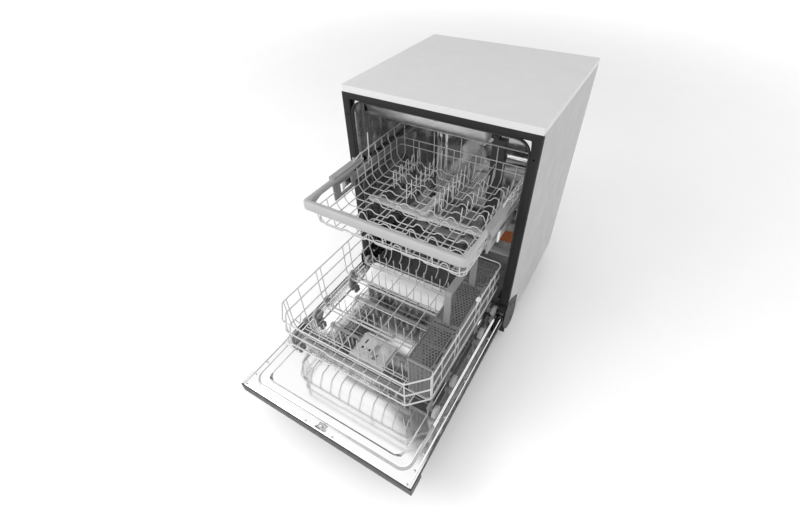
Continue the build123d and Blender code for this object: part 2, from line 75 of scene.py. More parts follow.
# ---- geometry helpers ----
class Build:
    """Collects the points and faces of one piece."""

    def __init__(self):
        self.points, self.faces = [], []

    def add(self, points, faces):
        first = len(self.points)
        self.points += [tuple(p) for p in points]
        self.faces += [tuple(first + i for i in face) for face in faces]
        return self

    def slab(self, x, y, z):
        """A box between three (low, high) pairs."""
        corners = [(a, b, c) for c in z for b in y for a in x]
        return self.add(corners, [(0, 2, 3, 1), (4, 5, 7, 6), (0, 1, 5, 4),
                                  (2, 6, 7, 3), (0, 4, 6, 2), (1, 3, 7, 5)])

    def prism(self, outline, axis, low, high):
        """The outline, drawn in the two other axes in order, carried from low to high."""
        place = {"x": lambda a, b, c: (c, a, b), "y": lambda a, b, c: (a, c, b),
                 "z": lambda a, b, c: (a, b, c)}[axis]
        points = [place(a, b, c) for c in (low, high) for a, b in outline]
        return self.add(points, closed_skin(2, len(outline)))

    def tube(self, path, radius, sides=8, soft_ends=True):
        """A round wire along the path, closed at both ends."""
        path = [Vector(p) for p in path]
        sizes = [radius] * len(path)
        if soft_ends:
            start, end = (path[1] - path[0]).normalized(), (path[-1] - path[-2]).normalized()
            path = [path[0], path[0] + start * radius * 0.45, *path[1:-1],
                    path[-1] - end * radius * 0.45, path[-1]]
            sizes = [radius * 0.6, radius, *sizes[1:-1], radius, radius * 0.6]
        way = (path[1] - path[0]).normalized()
        across = way.orthogonal().normalized()
        points = []
        for i, spot in enumerate(path):
            behind, ahead = path[max(i - 1, 0)], path[min(i + 1, len(path) - 1)]
            turned = (ahead - behind).normalized()
            across = way.rotation_difference(turned) @ across
            across = (across - turned * across.dot(turned)).normalized()
            way = turned
            other = way.cross(across)
            points += [spot + (across * a + other * b) * sizes[i] for a, b in circle(1.0, sides)]
        return self.add(points, closed_skin(len(path), sides))

    def turned(self, profile, centre, axis="z", steps=24, ring=False, way=1):
        """The profile of (radius, height) pairs turned round an axis through the centre.

        A ring has an open bore, and way turns the heights to the other side."""
        place = {"x": lambda r, s, h: (h, r, s), "y": lambda r, s, h: (s, h, r),
                 "z": lambda r, s, h: (r, s, h)}[axis]
        points, rings = [], []
        for radius, height in profile:
            around = circle(radius, steps)[:steps if radius else 1]
            rings.append(range(len(points), len(points) + len(around)))
            points += [[a + b for a, b in zip(centre, place(r, s, way * height))]
                       for r, s in around]
        faces = []
        for low, high in zip(rings, rings[1:] + rings[:1] * ring):
            for k in range(steps):
                faces.append([low[k % len(low)], low[(k + 1) % len(low)],
                              high[(k + 1) % len(high)], high[k % len(high)]])
        if not ring:
            faces += [rings[0], rings[-1]]
        distinct = [tuple(dict.fromkeys(face)) for face in faces]
        return self.add(points, [face for face in distinct if len(face) > 2])

    def sheet(self, xs, ys, height, holes=(), place=lambda x, y, z: (x, y, z), missing=None):
        """A sheet over a grid of lines at a height given by a function.

        Cells in the holes are left out, and those whose middle the last function names."""
        across = len(xs)
        points = [place(x, y, height(x, y)) for y in ys for x in xs]
        faces = []
        for j, (y0, y1) in enumerate(zip(ys, ys[1:])):
            for i, (x0, x1) in enumerate(zip(xs, xs[1:])):
                x, y = (x0 + x1) / 2, (y0 + y1) / 2
                inside = any(a[0] < x < a[1] and b[0] < y < b[1] for a, b in holes)
                if not inside and not (missing and missing(x, y)):
                    first = j * across + i
                    faces.append((first, first + 1, first + across + 1, first + across))
        return self.add(points, faces)


def circle(radius, count, first=0.0):
    """Places evenly round a circle, from its centre, starting at the first angle."""
    turns = [first + 2 * pi * k / count for k in range(count)]
    return [(radius * cos(t), radius * sin(t)) for t in turns]


def closed_skin(rows, size):
    """Faces over rows of points, one ring of that size after the other, and over both ends."""
    faces = [(r + k, r + (k + 1) % size, r + size + (k + 1) % size, r + size + k)
             for r in range(0, (rows - 1) * size, size) for k in range(size)]
    return faces + [tuple(range(size)), tuple(range((rows - 1) * size, rows * size))]


def about(middle, reach):
    return middle - reach, middle + reach


def mirrored(half):
    """The path that runs from left to right through x = 0, told by its right half."""
    return [*[(-x, y, z) for x, y, z in half[::-1]], *half]


def at(*depths):
    """Places this far behind the cabinet's front plane; those in front are negative."""
    return tuple(FRONT + depth for depth in depths)


def from_front(outline):
    """An outline of (depth behind the front plane, height) pairs, put in its place."""
    return [(FRONT + depth, z) for depth, z in outline]


def around_hole(build, x, y, hole, z):
    """Four slabs that fill a rectangle except for a hole in it."""
    for part_x, part_y in (((x[0], hole[0][0]), y), ((hole[0][1], x[1]), y),
                           (hole[0], (y[0], hole[1][0])), (hole[0], (hole[1][1], y[1]))):
        build.slab(part_x, part_y, z)


def border(build, x, y, wide, z):
    """Four slabs just inside the edges of a rectangle."""
    build.slab(x, (y[0], y[0] + wide), z)
    build.slab(x, (y[1] - wide, y[1]), z)
    build.slab((x[0], x[0] + wide), (y[0] + wide, y[1] - wide), z)
    build.slab((x[1] - wide, x[1]), (y[0] + wide, y[1] - wide), z)


def span(side, a, b):
    """The stretch from a to b, on the side of x = 0 that the sign tells."""
    return tuple(sorted((side * a, side * b)))


def lines(low, high, step, *edges):
    """Grid lines about one step apart between low and high, and through every edge given."""
    marks = sorted({low, high, *(e for e in edges if low < e < high)})
    found = []
    for a, b in zip(marks, marks[1:]):
        count = max(1, ceil((b - a) / step))
        found += [a + (b - a) * i / count for i in range(count)]
    return found + [high]


def spread(low, high, count):
    return [low + (high - low) * i / (count - 1) for i in range(count)]


def bent(path, radius, steps=3):
    """The path with each corner rounded by an arc-like curve."""
    path = [Vector(p) for p in path]
    out = [path[0]]
    for before, corner, after in zip(path, path[1:], path[2:]):
        back, on = before - corner, after - corner
        turn = pi - back.angle(on)
        cut = min(radius * abs(sin(turn / 2) / max(cos(turn / 2), 0.05)),
                  0.48 * back.length, 0.48 * on.length)
        start, end = corner + back.normalized() * cut, corner + on.normalized() * cut
        for k in range(steps + 1):
            t = k / steps
            out.append(start * (1 - t) ** 2 + corner * 2 * t * (1 - t) + end * t ** 2)
    return out + [path[-1]]


def step(x, low, high):
    """0 below low, 1 above high, and smooth between."""
    t = min(1.0, max(0.0, (x - low) / (high - low)))
    return t * t * (3 - 2 * t)


def rounded_distance(x, y, x_half, y_low, y_high, radius):
    """Signed distance from the edge of a rounded rectangle, positive inside it."""
    mid, half = (y_low + y_high) / 2, (y_high - y_low) / 2
    dx, dy = abs(x) - x_half + radius, abs(y - mid) - half + radius
    outside = sqrt(max(dx, 0) ** 2 + max(dy, 0) ** 2)
    return radius - outside - min(max(dx, dy), 0)


def piece(name, build, look, body, *nodes, slot=None, bevel=0.0, thick=0.0, sharp=35):
    """Makes the object, gives it its material, hangs it on the body it rides on, and hides the
    nodes it stands for.

    A build with a thickness is an open sheet, thickened towards its back."""
    used = sorted({i for face in build.faces for i in face})
    place = {old: new for new, old in enumerate(used)}
    mesh = bpy.data.meshes.new(name)
    mesh.from_pydata([[v * MM for v in build.points[i]] for i in used], [],
                     [[place[i] for i in face] for face in build.faces])
    mesh.materials.append(look)
    if not thick:
        face_outwards(mesh)
    mesh.polygons.foreach_set("use_smooth", [True] * len(mesh.polygons))
    mesh.update()
    mesh.set_sharp_from_angle(angle=radians(sharp))
    obj = bpy.data.objects.new(name, mesh)
    bpy.context.scene.collection.objects.link(obj)
    if thick:
        shell = obj.modifiers.new("thickness", "SOLIDIFY")
        shell.thickness, shell.offset = thick * MM, -1
    if bevel:
        edge = obj.modifiers.new("edges", "BEVEL")
        edge.width, edge.segments, edge.harden_normals = bevel * MM, 2, True
        edge.limit_method, edge.angle_limit = "ANGLE", radians(40)
        edge.use_clamp_overlap = True
    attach(obj, body)
    if nodes:
        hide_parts(*nodes)
    slot or SLOTS[look.name]
    return obj


def face_outwards(mesh):
    """Turns the faces of each closed shell in the mesh to the outside."""
    work = bmesh.new()
    work.from_mesh(mesh)
    bmesh.ops.recalc_face_normals(work, faces=work.faces)
    work.to_mesh(mesh)
    work.free()


# ---- materials ----
SLOTS = {}      # the library slot of each material


def material(name, slot, colour, roughness, metallic=0.0, *, vary=0.08, patch=30, rough_vary=0.1,
             grain=700, bump=0.15, depth=0.1, stretch=(1, 1, 1), wear=0.0, wave=0.0, coat=0.0,
             specular=0.5):
    """A surface with patchy colour and gloss, a fine grain, and worn edges where asked for.

    slot is the library's name for its kind. patch and grain are noise scales per metre, depth
    is the grain's height in millimetres, stretch draws the grain out along an axis, and wave
    is the height of slow waves in it."""
    look = bpy.data.materials.new(name)
    SLOTS[look.name] = slot
    look.use_nodes = True
    tree = look.node_tree
    nodes, link = tree.nodes, tree.links.new
    shader = nodes["Principled BSDF"]
    shader.inputs["Metallic"].default_value = metallic
    shader.inputs["Coat Weight"].default_value = coat
    shader.inputs["Coat Roughness"].default_value = 0.15
    shader.inputs["Specular IOR Level"].default_value = specular
    where = nodes.new("ShaderNodeTexCoord").outputs["Object"]
    drawn = nodes.new("ShaderNodeMapping")
    drawn.inputs["Scale"].default_value = stretch
    link(where, drawn.inputs["Vector"])

    def noise(scale, source, detail=3.0):
        node = nodes.new("ShaderNodeTexNoise")
        node.inputs["Scale"].default_value = scale
        node.inputs["Detail"].default_value = detail
        link(source, node.inputs["Vector"])
        return node.outputs["Fac"]

    def ramp(value, low, high, start=0.3, end=0.7):
        node = nodes.new("ShaderNodeMapRange")
        node.inputs["From Min"].default_value, node.inputs["From Max"].default_value = start, end
        node.inputs["To Min"].default_value, node.inputs["To Max"].default_value = low, high
        link(value, node.inputs["Value"])
        return node.outputs["Result"]

    def mixed(amount, first, second):
        node = nodes.new("ShaderNodeMix")
        node.data_type = "RGBA"
        link(amount, node.inputs["Factor"])
        for value, socket in ((first, node.inputs["A"]), (second, node.inputs["B"])):
            if isinstance(value, tuple):
                socket.default_value = (*(min(1.0, v) for v in value), 1)
            else:
                link(value, socket)
        return node.outputs["Result"]

    patches, fine = noise(patch, where), noise(grain, drawn.outputs["Vector"])
    blended = nodes.new("ShaderNodeMath")
    blended.operation = "ADD"
    link(ramp(patches, 0, 0.6), blended.inputs[0])
    link(ramp(fine, 0, 0.4), blended.inputs[1])
    tint = mixed(blended.outputs["Value"], tuple(c * (1 - vary) for c in colour),
                 tuple(c * (1 + vary) for c in colour))
    if wear:
        edge = nodes.new("ShaderNodeNewGeometry").outputs["Pointiness"]
        tint = mixed(ramp(edge, 0, wear, 0.51, 0.6), tint, tuple(c + 0.25 for c in colour))
    link(tint, shader.inputs["Base Color"])
    gloss = noise(patch * 2.3, drawn.outputs["Vector"])
    link(ramp(gloss, roughness - rough_vary / 2, roughness + rough_vary / 2),
         shader.inputs["Roughness"])
    relief = nodes.new("ShaderNodeBump")
    relief.inputs["Strength"].default_value = bump
    relief.inputs["Distance"].default_value = depth * MM
    link(fine, relief.inputs["Height"])
    if wave:
        slow = nodes.new("ShaderNodeBump")
        slow.inputs["Strength"].default_value = 1.0
        slow.inputs["Distance"].default_value = wave * MM
        link(noise(9, where, 1.0), slow.inputs["Height"])
        link(slow.outputs["Normal"], relief.inputs["Normal"])
    link(relief.outputs["Normal"], shader.inputs["Normal"])
    return look


def grey(value, blue=1.0):
    return (value, value, min(1.0, value * blue))


def steel(name, shade, roughness, metallic=1.0, slot="stainless", **more):
    shared = {"grain": 420, "bump": 0.1, "depth": 0.03}
    return material(name, slot, grey(shade), roughness, metallic, **{**shared, **more})


def plastic(name, slot, shade, roughness, **more):
    shared = {"grain": 1400, "bump": 0.3, "depth": 0.05}
    return material(name, slot, grey(shade), roughness, **{**shared, **more})


LAMINATE = plastic("white_laminate", "white_laminate", 0.56, 0.45, vary=0.02, patch=12,
                   grain=1500, bump=0.35, depth=0.06)
# the side skins' paint is darkened below the worktop's white as painted shade
SHADED_SIDE_PAINT = plastic("side_paint_painted_shade", "grey_enamel", 0.33, 0.38, vary=0.02, patch=6, grain=900,
                     bump=0.2, coat=0.1)
BLACK_PAINT = plastic("black_paint", "black_enamel", 0.008, 0.42, vary=0.25, patch=40,
                      grain=1300, wear=0.08, specular=0.12)

# stainless sheet: the door's liner, the tub's walls, mouth, ceiling and floor, the ramp; several
# carry painted light and shade in their brightness
WALL = {"bump": 0.12, "stretch": (1, 1, 0.05), "wave": 1.4}
MIRROR = steel("liner_steel", 0.76, 0.11, vary=0.025, patch=9, depth=0.02,
               stretch=(0.06, 2.5, 1), rough_vary=0.06, wave=0.35)
TUB_STEEL = steel("tub_steel", 0.60, 0.17, vary=0.05, patch=14, **WALL)
# the left wall's steel is darkened as painted shade
SHADED_WALL_STEEL = steel("left_wall_steel_painted_shade", 0.44, 0.17, vary=0.06, patch=14, **WALL)
# the rear and right walls' steel is brightened, with bright and dark colour patches as painted
# reflections
REFLECTION_PATCH_STEEL = steel("rear_wall_steel_painted_reflections", 0.95, 0.09, 0.9, vary=0.35, patch=9, bump=0.12,
                   stretch=(1, 1, 0.6), wave=6.0)
# the header and the ceiling are one sheet: its steel is brightened as painted highlight on the
# header and darkened to near black as painted shade on the ceiling
LIT_HEADER_STEEL = steel("header_steel_painted_highlight", 0.95, 0.3, vary=0.05, patch=5, depth=0.02,
                     stretch=(0.06, 1, 1), rough_vary=0.06)
SHADED_STEEL = steel("ceiling_steel_painted_shade", 0.05, 0.42, vary=0.15, patch=12, bump=0.15, depth=0.04,
                     rough_vary=0.15)
DARK_STEEL = steel("hinge_steel", 0.10, 0.36, slot="zinc_steel", vary=0.3, patch=110,
                   grain=600, bump=0.2, depth=0.05, rough_vary=0.2, wear=0.2)
# the floor's steel is darkened as painted shade deep in the tub
SHADED_FLOOR_STEEL = steel("floor_steel_painted_shade", 0.30, 0.36, 0.8, vary=0.12, bump=0.2, depth=0.06,
                    rough_vary=0.2)
# a darker steel for the ribbon of painted shade along the track's shoulder
CREASE_SHADE_STEEL = steel("crease_shade_steel", 0.40, 0.30, vary=0.10, patch=16, rough_vary=0.08)
RAMP_STEEL = steel("ramp_steel", 0.90, 0.46, 0.6, vary=0.04, patch=16, rough_vary=0.08)
ZINC = material("zinc", "zinc_steel", grey(0.55, 1.03), 0.33, 1.0, vary=0.12, patch=160,
                grain=600, depth=0.05, rough_vary=0.15)
DULL_STEEL = material("galvanised_sheet", "zinc_steel", grey(0.48, 1.02), 0.42, 0.9, vary=0.18,
                      patch=70, grain=500, depth=0.05, rough_vary=0.2)

WIRE = plastic("nylon_coated_wire", "coated_wire", 0.50, 0.36, vary=0.05, patch=60, grain=900,
               bump=0.2, depth=0.04, coat=0.15)
RIM_GREY = plastic("rim_plastic", "grey_plastic", 0.36, 0.42, vary=0.04, patch=25, grain=1600)
ARM_GREY = plastic("spray_arm_plastic", "grey_plastic", 0.40, 0.4, vary=0.05)
DISPENSER_GREY = plastic("dispenser_plastic", "grey_plastic", 0.50, 0.42, vary=0.05, patch=40)
DARK_PLASTIC = plastic("dark_grey_plastic", "dark_plastic", 0.11, 0.45, vary=0.12, patch=40,
                       bump=0.35, wear=0.08)
DUCT_GREY = plastic("duct_plastic", "dark_plastic", 0.10, 0.48, vary=0.1, grain=1200,
                    bump=0.35, depth=0.06)
BASKET_GREY = plastic("basket_plastic", "basket_plastic", 0.11, 0.43, vary=0.12, patch=70,
                      wear=0.15)
STRAP_GREY = plastic("strap_plastic", "grey_plastic", 0.20, 0.42, vary=0.05, grain=1500)
CLIP_GREY = plastic("clip_plastic", "dark_plastic", 0.24, 0.45, patch=50)
CAP_GREY = plastic("arm_cap_plastic", "grey_plastic", 0.25, 0.45, vary=0.06, patch=40, grain=1500)
WHEEL_GREY = plastic("wheel_plastic", "dark_plastic", 0.30, 0.45, patch=50)
WHITE_PLASTIC = plastic("white_plastic", "white_plastic", 0.72, 0.4, vary=0.03, grain=1200,
                        bump=0.25)
BASE_PLASTIC = plastic("base_plastic", "base_plastic", 0.03, 0.55, vary=0.2, grain=900,
                       bump=0.4, depth=0.08, wear=0.05)
RUBBER = plastic("seal_rubber", "rubber_black", 0.018, 0.62, vary=0.2, patch=60, grain=1100,
                 depth=0.06)
CONSOLE = plastic("console_plastic", "console_plastic", 0.025, 0.40, vary=0.12, patch=25,
                  grain=1700, depth=0.04, specular=0.25)
BUTTON = plastic("button_plastic", "console_plastic", 0.09, 0.32, patch=80, grain=1500,
                 bump=0.2, depth=0.03, wear=0.1)
LENS = plastic("smoked_lens", "display_glass", 0.006, 0.08, vary=0.3, patch=15, grain=1200,
               bump=0.05, depth=0.01, rough_vary=0.04, coat=0.6)
FELT = plastic("bitumen_felt", "felt", 0.05, 0.9, vary=0.35, patch=220, grain=1500, bump=0.9,
               depth=0.4)
CAST = plastic("painted_cast_iron", "cast", 0.06, 0.6, vary=0.3, patch=90, grain=450,
               bump=0.7, depth=0.3)
ORANGE = material("plain_orange_patch", "label_orange", (0.55, 0.15, 0.035), 0.5, vary=0.1,
                  patch=60, grain=900, depth=0.03)
DARK_VOID = material("shadowed_recess", "dark_plastic", grey(0.01), 0.7, vary=0.2, patch=60,
                     grain=900)


# ---- outlines ----
def rounded(x0, x1, y0, y1, radius, steps=6):
    """A rectangle with round corners, as a list of points going round it."""
    points = []
    for x, y, start in ((x1, y1, 0), (x0, y1, 90), (x0, y0, 180), (x1, y0, 270)):
        cx = x - radius if x == x1 else x + radius
        cy = y - radius if y == y1 else y + radius
        points += [(cx + radius * cos(radians(start + 90 * k / steps)),
                    cy + radius * sin(radians(start + 90 * k / steps))) for k in range(steps + 1)]
    return points


def arch(half, low, top, radius, steps=10):
    """Points up one side of an opening, over its rounded top corners and down the other."""
    turns = [k / steps * pi / 2 for k in range(steps + 1)]
    left = [(-half + radius - radius * cos(t), top - radius + radius * sin(t)) for t in turns]
    return [(-half, low), *left, *[(-x, z) for x, z in reversed(left)], (half, low)]


def screw(build, spot, radius, axis="z", way=1.0):
    """A low domed screw head with a cross recess, standing out from the spot."""
    height = radius * 0.42
    dome = ((0.92, 0), (1, 0.25), (0.8, 0.75), (0.5, 0.95), (0, 1))
    build.turned([(radius * out, height * up * way) for out, up in dome], spot, axis, 16)
    reach, bar, top = radius * 0.55, radius * 0.13, height * way
    low, high = sorted((top * 0.9, top + 0.06 * radius * way))
    for a, b in ((reach, bar), (bar, reach)):
        spans = {"x": ((low, high), (-a, a), (-b, b)), "y": ((-a, a), (low, high), (-b, b)),
                 "z": ((-a, a), (-b, b), (low, high))}[axis]
        build.slab(*[(c + span[0], c + span[1]) for c, span in zip(spot, spans)])


# ---- cabinet outside ----
CORNER_Y, CORNER_TOP = FRONT + 125.0, 190.0     # where the side skins leave room for a plate


def casing():
    """The worktop, the two side skins with their black corner plates, and the back sheet."""
    top = Build().prism(rounded(*TOP.x, *TOP.y, 2.5), "z", TOP.z0, TOP.z1)
    piece("worktop", top, LAMINATE, "cabinet", "top_panel", bevel=1.0)

    side = box("side_panels")
    skin, hem = 1.2, 11.0
    panels = Build()
    corners = Build()
    for s in (-1, 1):
        outer = side.x1
        skin_x = span(s, outer - skin, outer)
        panels.slab(skin_x, side.y, (CORNER_TOP, side.z1))
        panels.slab(skin_x, (CORNER_Y, side.y1), (side.z0, CORNER_TOP))
        panels.slab(span(s, outer - hem, outer - skin), (CORNER_Y + 2, side.y1 - 4),
                    (side.z0, side.z0 + skin))
        # the black plate in the lower front corner, standing a little proud of the skin
        ear = from_front([(-14, 128), (20, 72), (52, 40), (84, 27), (108, 30), (123, 48),
                          (124.5, 90), (112, 168), (96, 182), (34, 222), (6, 224), (-12, 200),
                          (-14, 160)])
        corners.prism(ear, "x", *span(s, outer - skin, outer + 1.6))
        fill = [(FRONT + 112, 168), (FRONT + 124.5, 90), (CORNER_Y, 90), (CORNER_Y, CORNER_TOP),
                (FRONT + 83, CORNER_TOP), (FRONT + 96, 182)]
        panels.prism(fill, "x", *skin_x)
        for y, z in ((36, 190), (84, 70), (96, 140)):
            corners.turned([(6.5, outer + 1.5), (6.0, outer + 2.4), (4.2, outer + 2.6),
                            (3.8, outer + 1.9), (0, outer + 1.9)], (0, FRONT + y, z), "x", 20,
                           way=s)
        panels.slab(span(s, outer - hem, outer - skin), (side.y1 - skin - 3, side.y1 - 3),
                    (side.z0 + skin, side.z1 - 30))
    piece("corner_plates", corners, BLACK_PAINT, "cabinet", bevel=1.2)
    # painted shade: the side skins take the darkened paint
    piece("side_skins", panels, SHADED_SIDE_PAINT, "cabinet", "side_panels", bevel=0.5)

    rear = box("back_panel")
    depth = 1.6

    def bead(x, z):
        """How far the back sheet's pressed frame and cross ribs stand out."""
        frame_edge = rounded_distance(x, z, 235, rear.z0 + 60, rear.z1 - 70, 30)
        ribs = max(1 - abs(frame_edge) / 9, 0)
        for height in (300, 450, 600):
            if abs(x) < 195:
                ribs = max(ribs, 1 - abs(z - height) / 8)
        return depth * step(ribs, 0, 0.7)

    xs, zs = lines(*rear.x, 7), lines(*rear.z, 5)
    sheet = Build().sheet(xs, zs, bead, place=lambda x, z, out: (-x, BACK - 2.3 + out, z))
    piece("back_sheet", sheet, DULL_STEEL, "cabinet", "back_panel", thick=0.8)
    heads = Build()
    for x in (-287, 287):
        for z in (172, 330, 490, 650, 806):
            screw(heads, (x, BACK - 2.3, z), 4.2, "y")
    for x in (-190, 0, 190):
        screw(heads, (x, BACK - 2.3, 816), 4.2, "y")
    piece("back_sheet_screws", heads, ZINC, "cabinet", sharp=50)


def front_frame():
    """The black frame round the mouth, its hinge covers and the seals."""
    node = box("front_frame")
    mouth, head, thick = 275.0, 807.0, 12.0
    low, high, half = 200.0, node.z1, node.x1
    nick = 3.0
    outline = [(-half, low), (-half, high), (half, high), (half, low), (mouth, low),
               (mouth, head - nick), (mouth - nick, head), (nick - mouth, head),
               (-mouth, head - nick), (-mouth, low)]
    frame_piece = Build().prism(outline, "y", FRONT, FRONT + thick)
    frame_piece.slab((-mouth, mouth), (FRONT, FRONT + 7), (128, 148))
    frame_piece.slab((-mouth, mouth), (FRONT - 1.2, FRONT), (129, 131.5))
    piece("front_frame_painted", frame_piece, BLACK_PAINT, "cabinet", "front_frame", bevel=0.9)
    rims = Build()
    for x in (-286, 286):
        for z in (300, 760):
            rims.turned([(5.0, 0), (5.2, -0.5), (4.2, -0.9), (2.6, -0.5), (2.5, 0)],
                        (x, FRONT, z), "y", 20)
            rims.turned([(2.5, -0.12), (0.0, -0.12)], (x, FRONT, z), "y", 20)
    piece("fixing_hole_rims", rims, BLACK_PAINT, "cabinet")

    # moulded covers over the hinges: a ribbed block with a rounded nose and a side cheek
    covers = Build()
    for s in (-1, 1):
        nose = from_front([(-0.2, 190), (-0.2, 214), (-5, 214), (-10, 211.5), (-12.8, 206),
                           (-12.8, 195), (-10, 190)])
        covers.prism(nose, "x", *span(s, 276.5, 296.3))
        for k in range(4):
            x = 279.5 + 4.5 * k
            covers.slab(span(s, x, x + 1.6), at(-11.5, -1), (213.6, 215.2))
    piece("hinge_covers", covers, BLACK_PAINT, "cabinet", bevel=0.8)

    # the seal's bulb and lip round the mouth, and the blade below it
    seal = Build()
    for half, top, depth, radius, sides in ((272.1, 803.2, 5.6, 2.9, 12),
                                            (273.2, 804.6, 1.8, 1.2, 8)):
        path = [(x, FRONT + depth, z) for x, z in arch(half, 176, top, 42)]
        seal.tube(path, radius, sides, soft_ends=False)
    blade = from_front([(-0.6, 137), (-0.6, 147), (-3, 147.5), (-6.5, 143), (-6.8, 141.5),
                        (-3, 144.5)])
    seal.prism(blade, "x", -264, 264)
    piece("mouth_seal", seal, RUBBER, "cabinet", "door_seals")


# ---- stainless tub ----
WALL_RIBS = (32.0, 62.0, 330.0, 440.0)      # depths of the ribs pressed into each side wall


def tub():
    """The pressed walls and ceiling, the rim round the mouth, and the floor."""
    half, back, low, top = 269.0, TUB.y1 - 1.0, TUB.z0, TUB.z1 - 1.0
    front = FRONT + 12.2        # behind the front frame
    corner = 34.0               # radius of the two upright corners at the back
    flat = back - corner - front
    around = corner * pi / 2
    total = 2 * flat + 2 * around + 2 * (half - corner)

    def wall_point(s):
        """The place and outward direction at length s along the U of the three walls."""
        if s > total / 2:
            x, y, nx, ny = wall_point(total - s)
            return -x, y, -nx, ny
        if s < flat:
            return -half, front + s, -1.0, 0.0
        if s < flat + around:
            a = (s - flat) / corner
            return (-half + corner - corner * cos(a), back - corner + corner * sin(a),
                    -cos(a), sin(a))
        return -half + corner + (s - flat - around), back, 0.0, 1.0

    def press(s, z):
        """How far the wall is pressed outwards."""
        from_mouth = min(s, total - s)
        out = 0.0
        for k, rib in enumerate(WALL_RIBS):
            wide = 9.0 if k < 2 else 24.0
            ends = (260, top - 12) if k < 2 else (330, 735)
            shape = rounded_distance(from_mouth - rib, z, wide, *ends, min(wide, 9) - 0.5)
            out = max(out, 3.6 * step(shape, -3.5, 3.5))
        out = max(out, 2.6 * step(rounded_distance(from_mouth - 200, z, 70, 620, 770, 22), -4, 4))
        x = s - total / 2
        panel = rounded_distance(x, z, 218, 235, 742, 36)
        out = max(out, 2.4 * step(panel, -4, 4))
        if 52 < x < 215:
            out = out - 3.4 * step(1 - abs(z - 442) / 7, 0, 0.8)
        return out

    marks = [rib + d for rib in WALL_RIBS for d in (-12, -9, -5, 5, 9, 12) if rib + d > 0]
    ss = lines(0, total, 7, flat, flat + around, *marks, *[total - m for m in marks])
    zs = lines(low, top, 7)

    def place(s, z, out):
        x, y, nx, ny = wall_point(s)
        return x + nx * out, y + ny * out, z

    # painted light and shade: the left wall takes a darkened steel, the rear and right walls a
    # brightened one with painted reflection patches
    turns = (0, flat + around / 2, total - flat - around / 2, total)
    for name, low_s, high_s, look in (("left", *turns[:2], SHADED_WALL_STEEL),
                                      ("rear", *turns[1:3], REFLECTION_PATCH_STEEL),
                                      ("right", *turns[2:], REFLECTION_PATCH_STEEL)):
        part = [low_s, *[s for s in ss if low_s < s < high_s], high_s]
        piece(f"tub_wall_{name}", Build().sheet(part, zs, press, place=place), look, "cabinet",
              "tub_shell", thick=0.8)

    # ceiling with a slanted header behind the mouth, and long stiffening beads
    header_end = 140.0

    def ceiling(x, y):
        depth_in = y - FRONT
        drop = step(depth_in, 44, 94) - step(depth_in, 100, 140)
        fade = 1 - step(x, header_end - 12, header_end + 12)
        z = top - 74 * drop * fade
        for bead_x in (-170, -85, 85, 170):
            if abs(x - bead_x) < 10 and 190 < depth_in < 500:
                z += 3 * step(1 - abs(x - bead_x) / 10, 0, 0.8) * (
                    step(depth_in, 190, 215) - step(depth_in, 475, 500))
        return z

    xs = lines(-half, half, 8, header_end - 12, header_end, header_end + 12)
    split = FRONT + 97
    # painted light and shade: the header takes a brightened steel and the ceiling behind it a
    # near-black one
    for name, ys, look in (("tub_header", lines(front, split, 5), LIT_HEADER_STEEL),
                           ("tub_ceiling", lines(split, back, 6), SHADED_STEEL)):
        piece(name, Build().sheet(xs, ys, ceiling), look, "cabinet", thick=-0.8)

    # the flat rim round the mouth, seen in the corners of the painted frame
    outer, inner = arch(half + 7.5, 172, 808.5, 1.0), arch(half + 1.0, 172, top + 1.0, 41)
    rows = ((outer, 9.6), (inner, 9.6), (inner, 13))
    count = len(outer)
    plate = Build().add([(x, FRONT + depth, z) for row, depth in rows for x, z in row],
                        [(i, i + 1, count + i + 1, count + i)
                         for first in (0, count) for i in range(first, first + count - 1)])
    piece("tub_mouth_rim", plate, TUB_STEEL, "cabinet", thick=0.6)
    floor_and_sump(half, front, back)


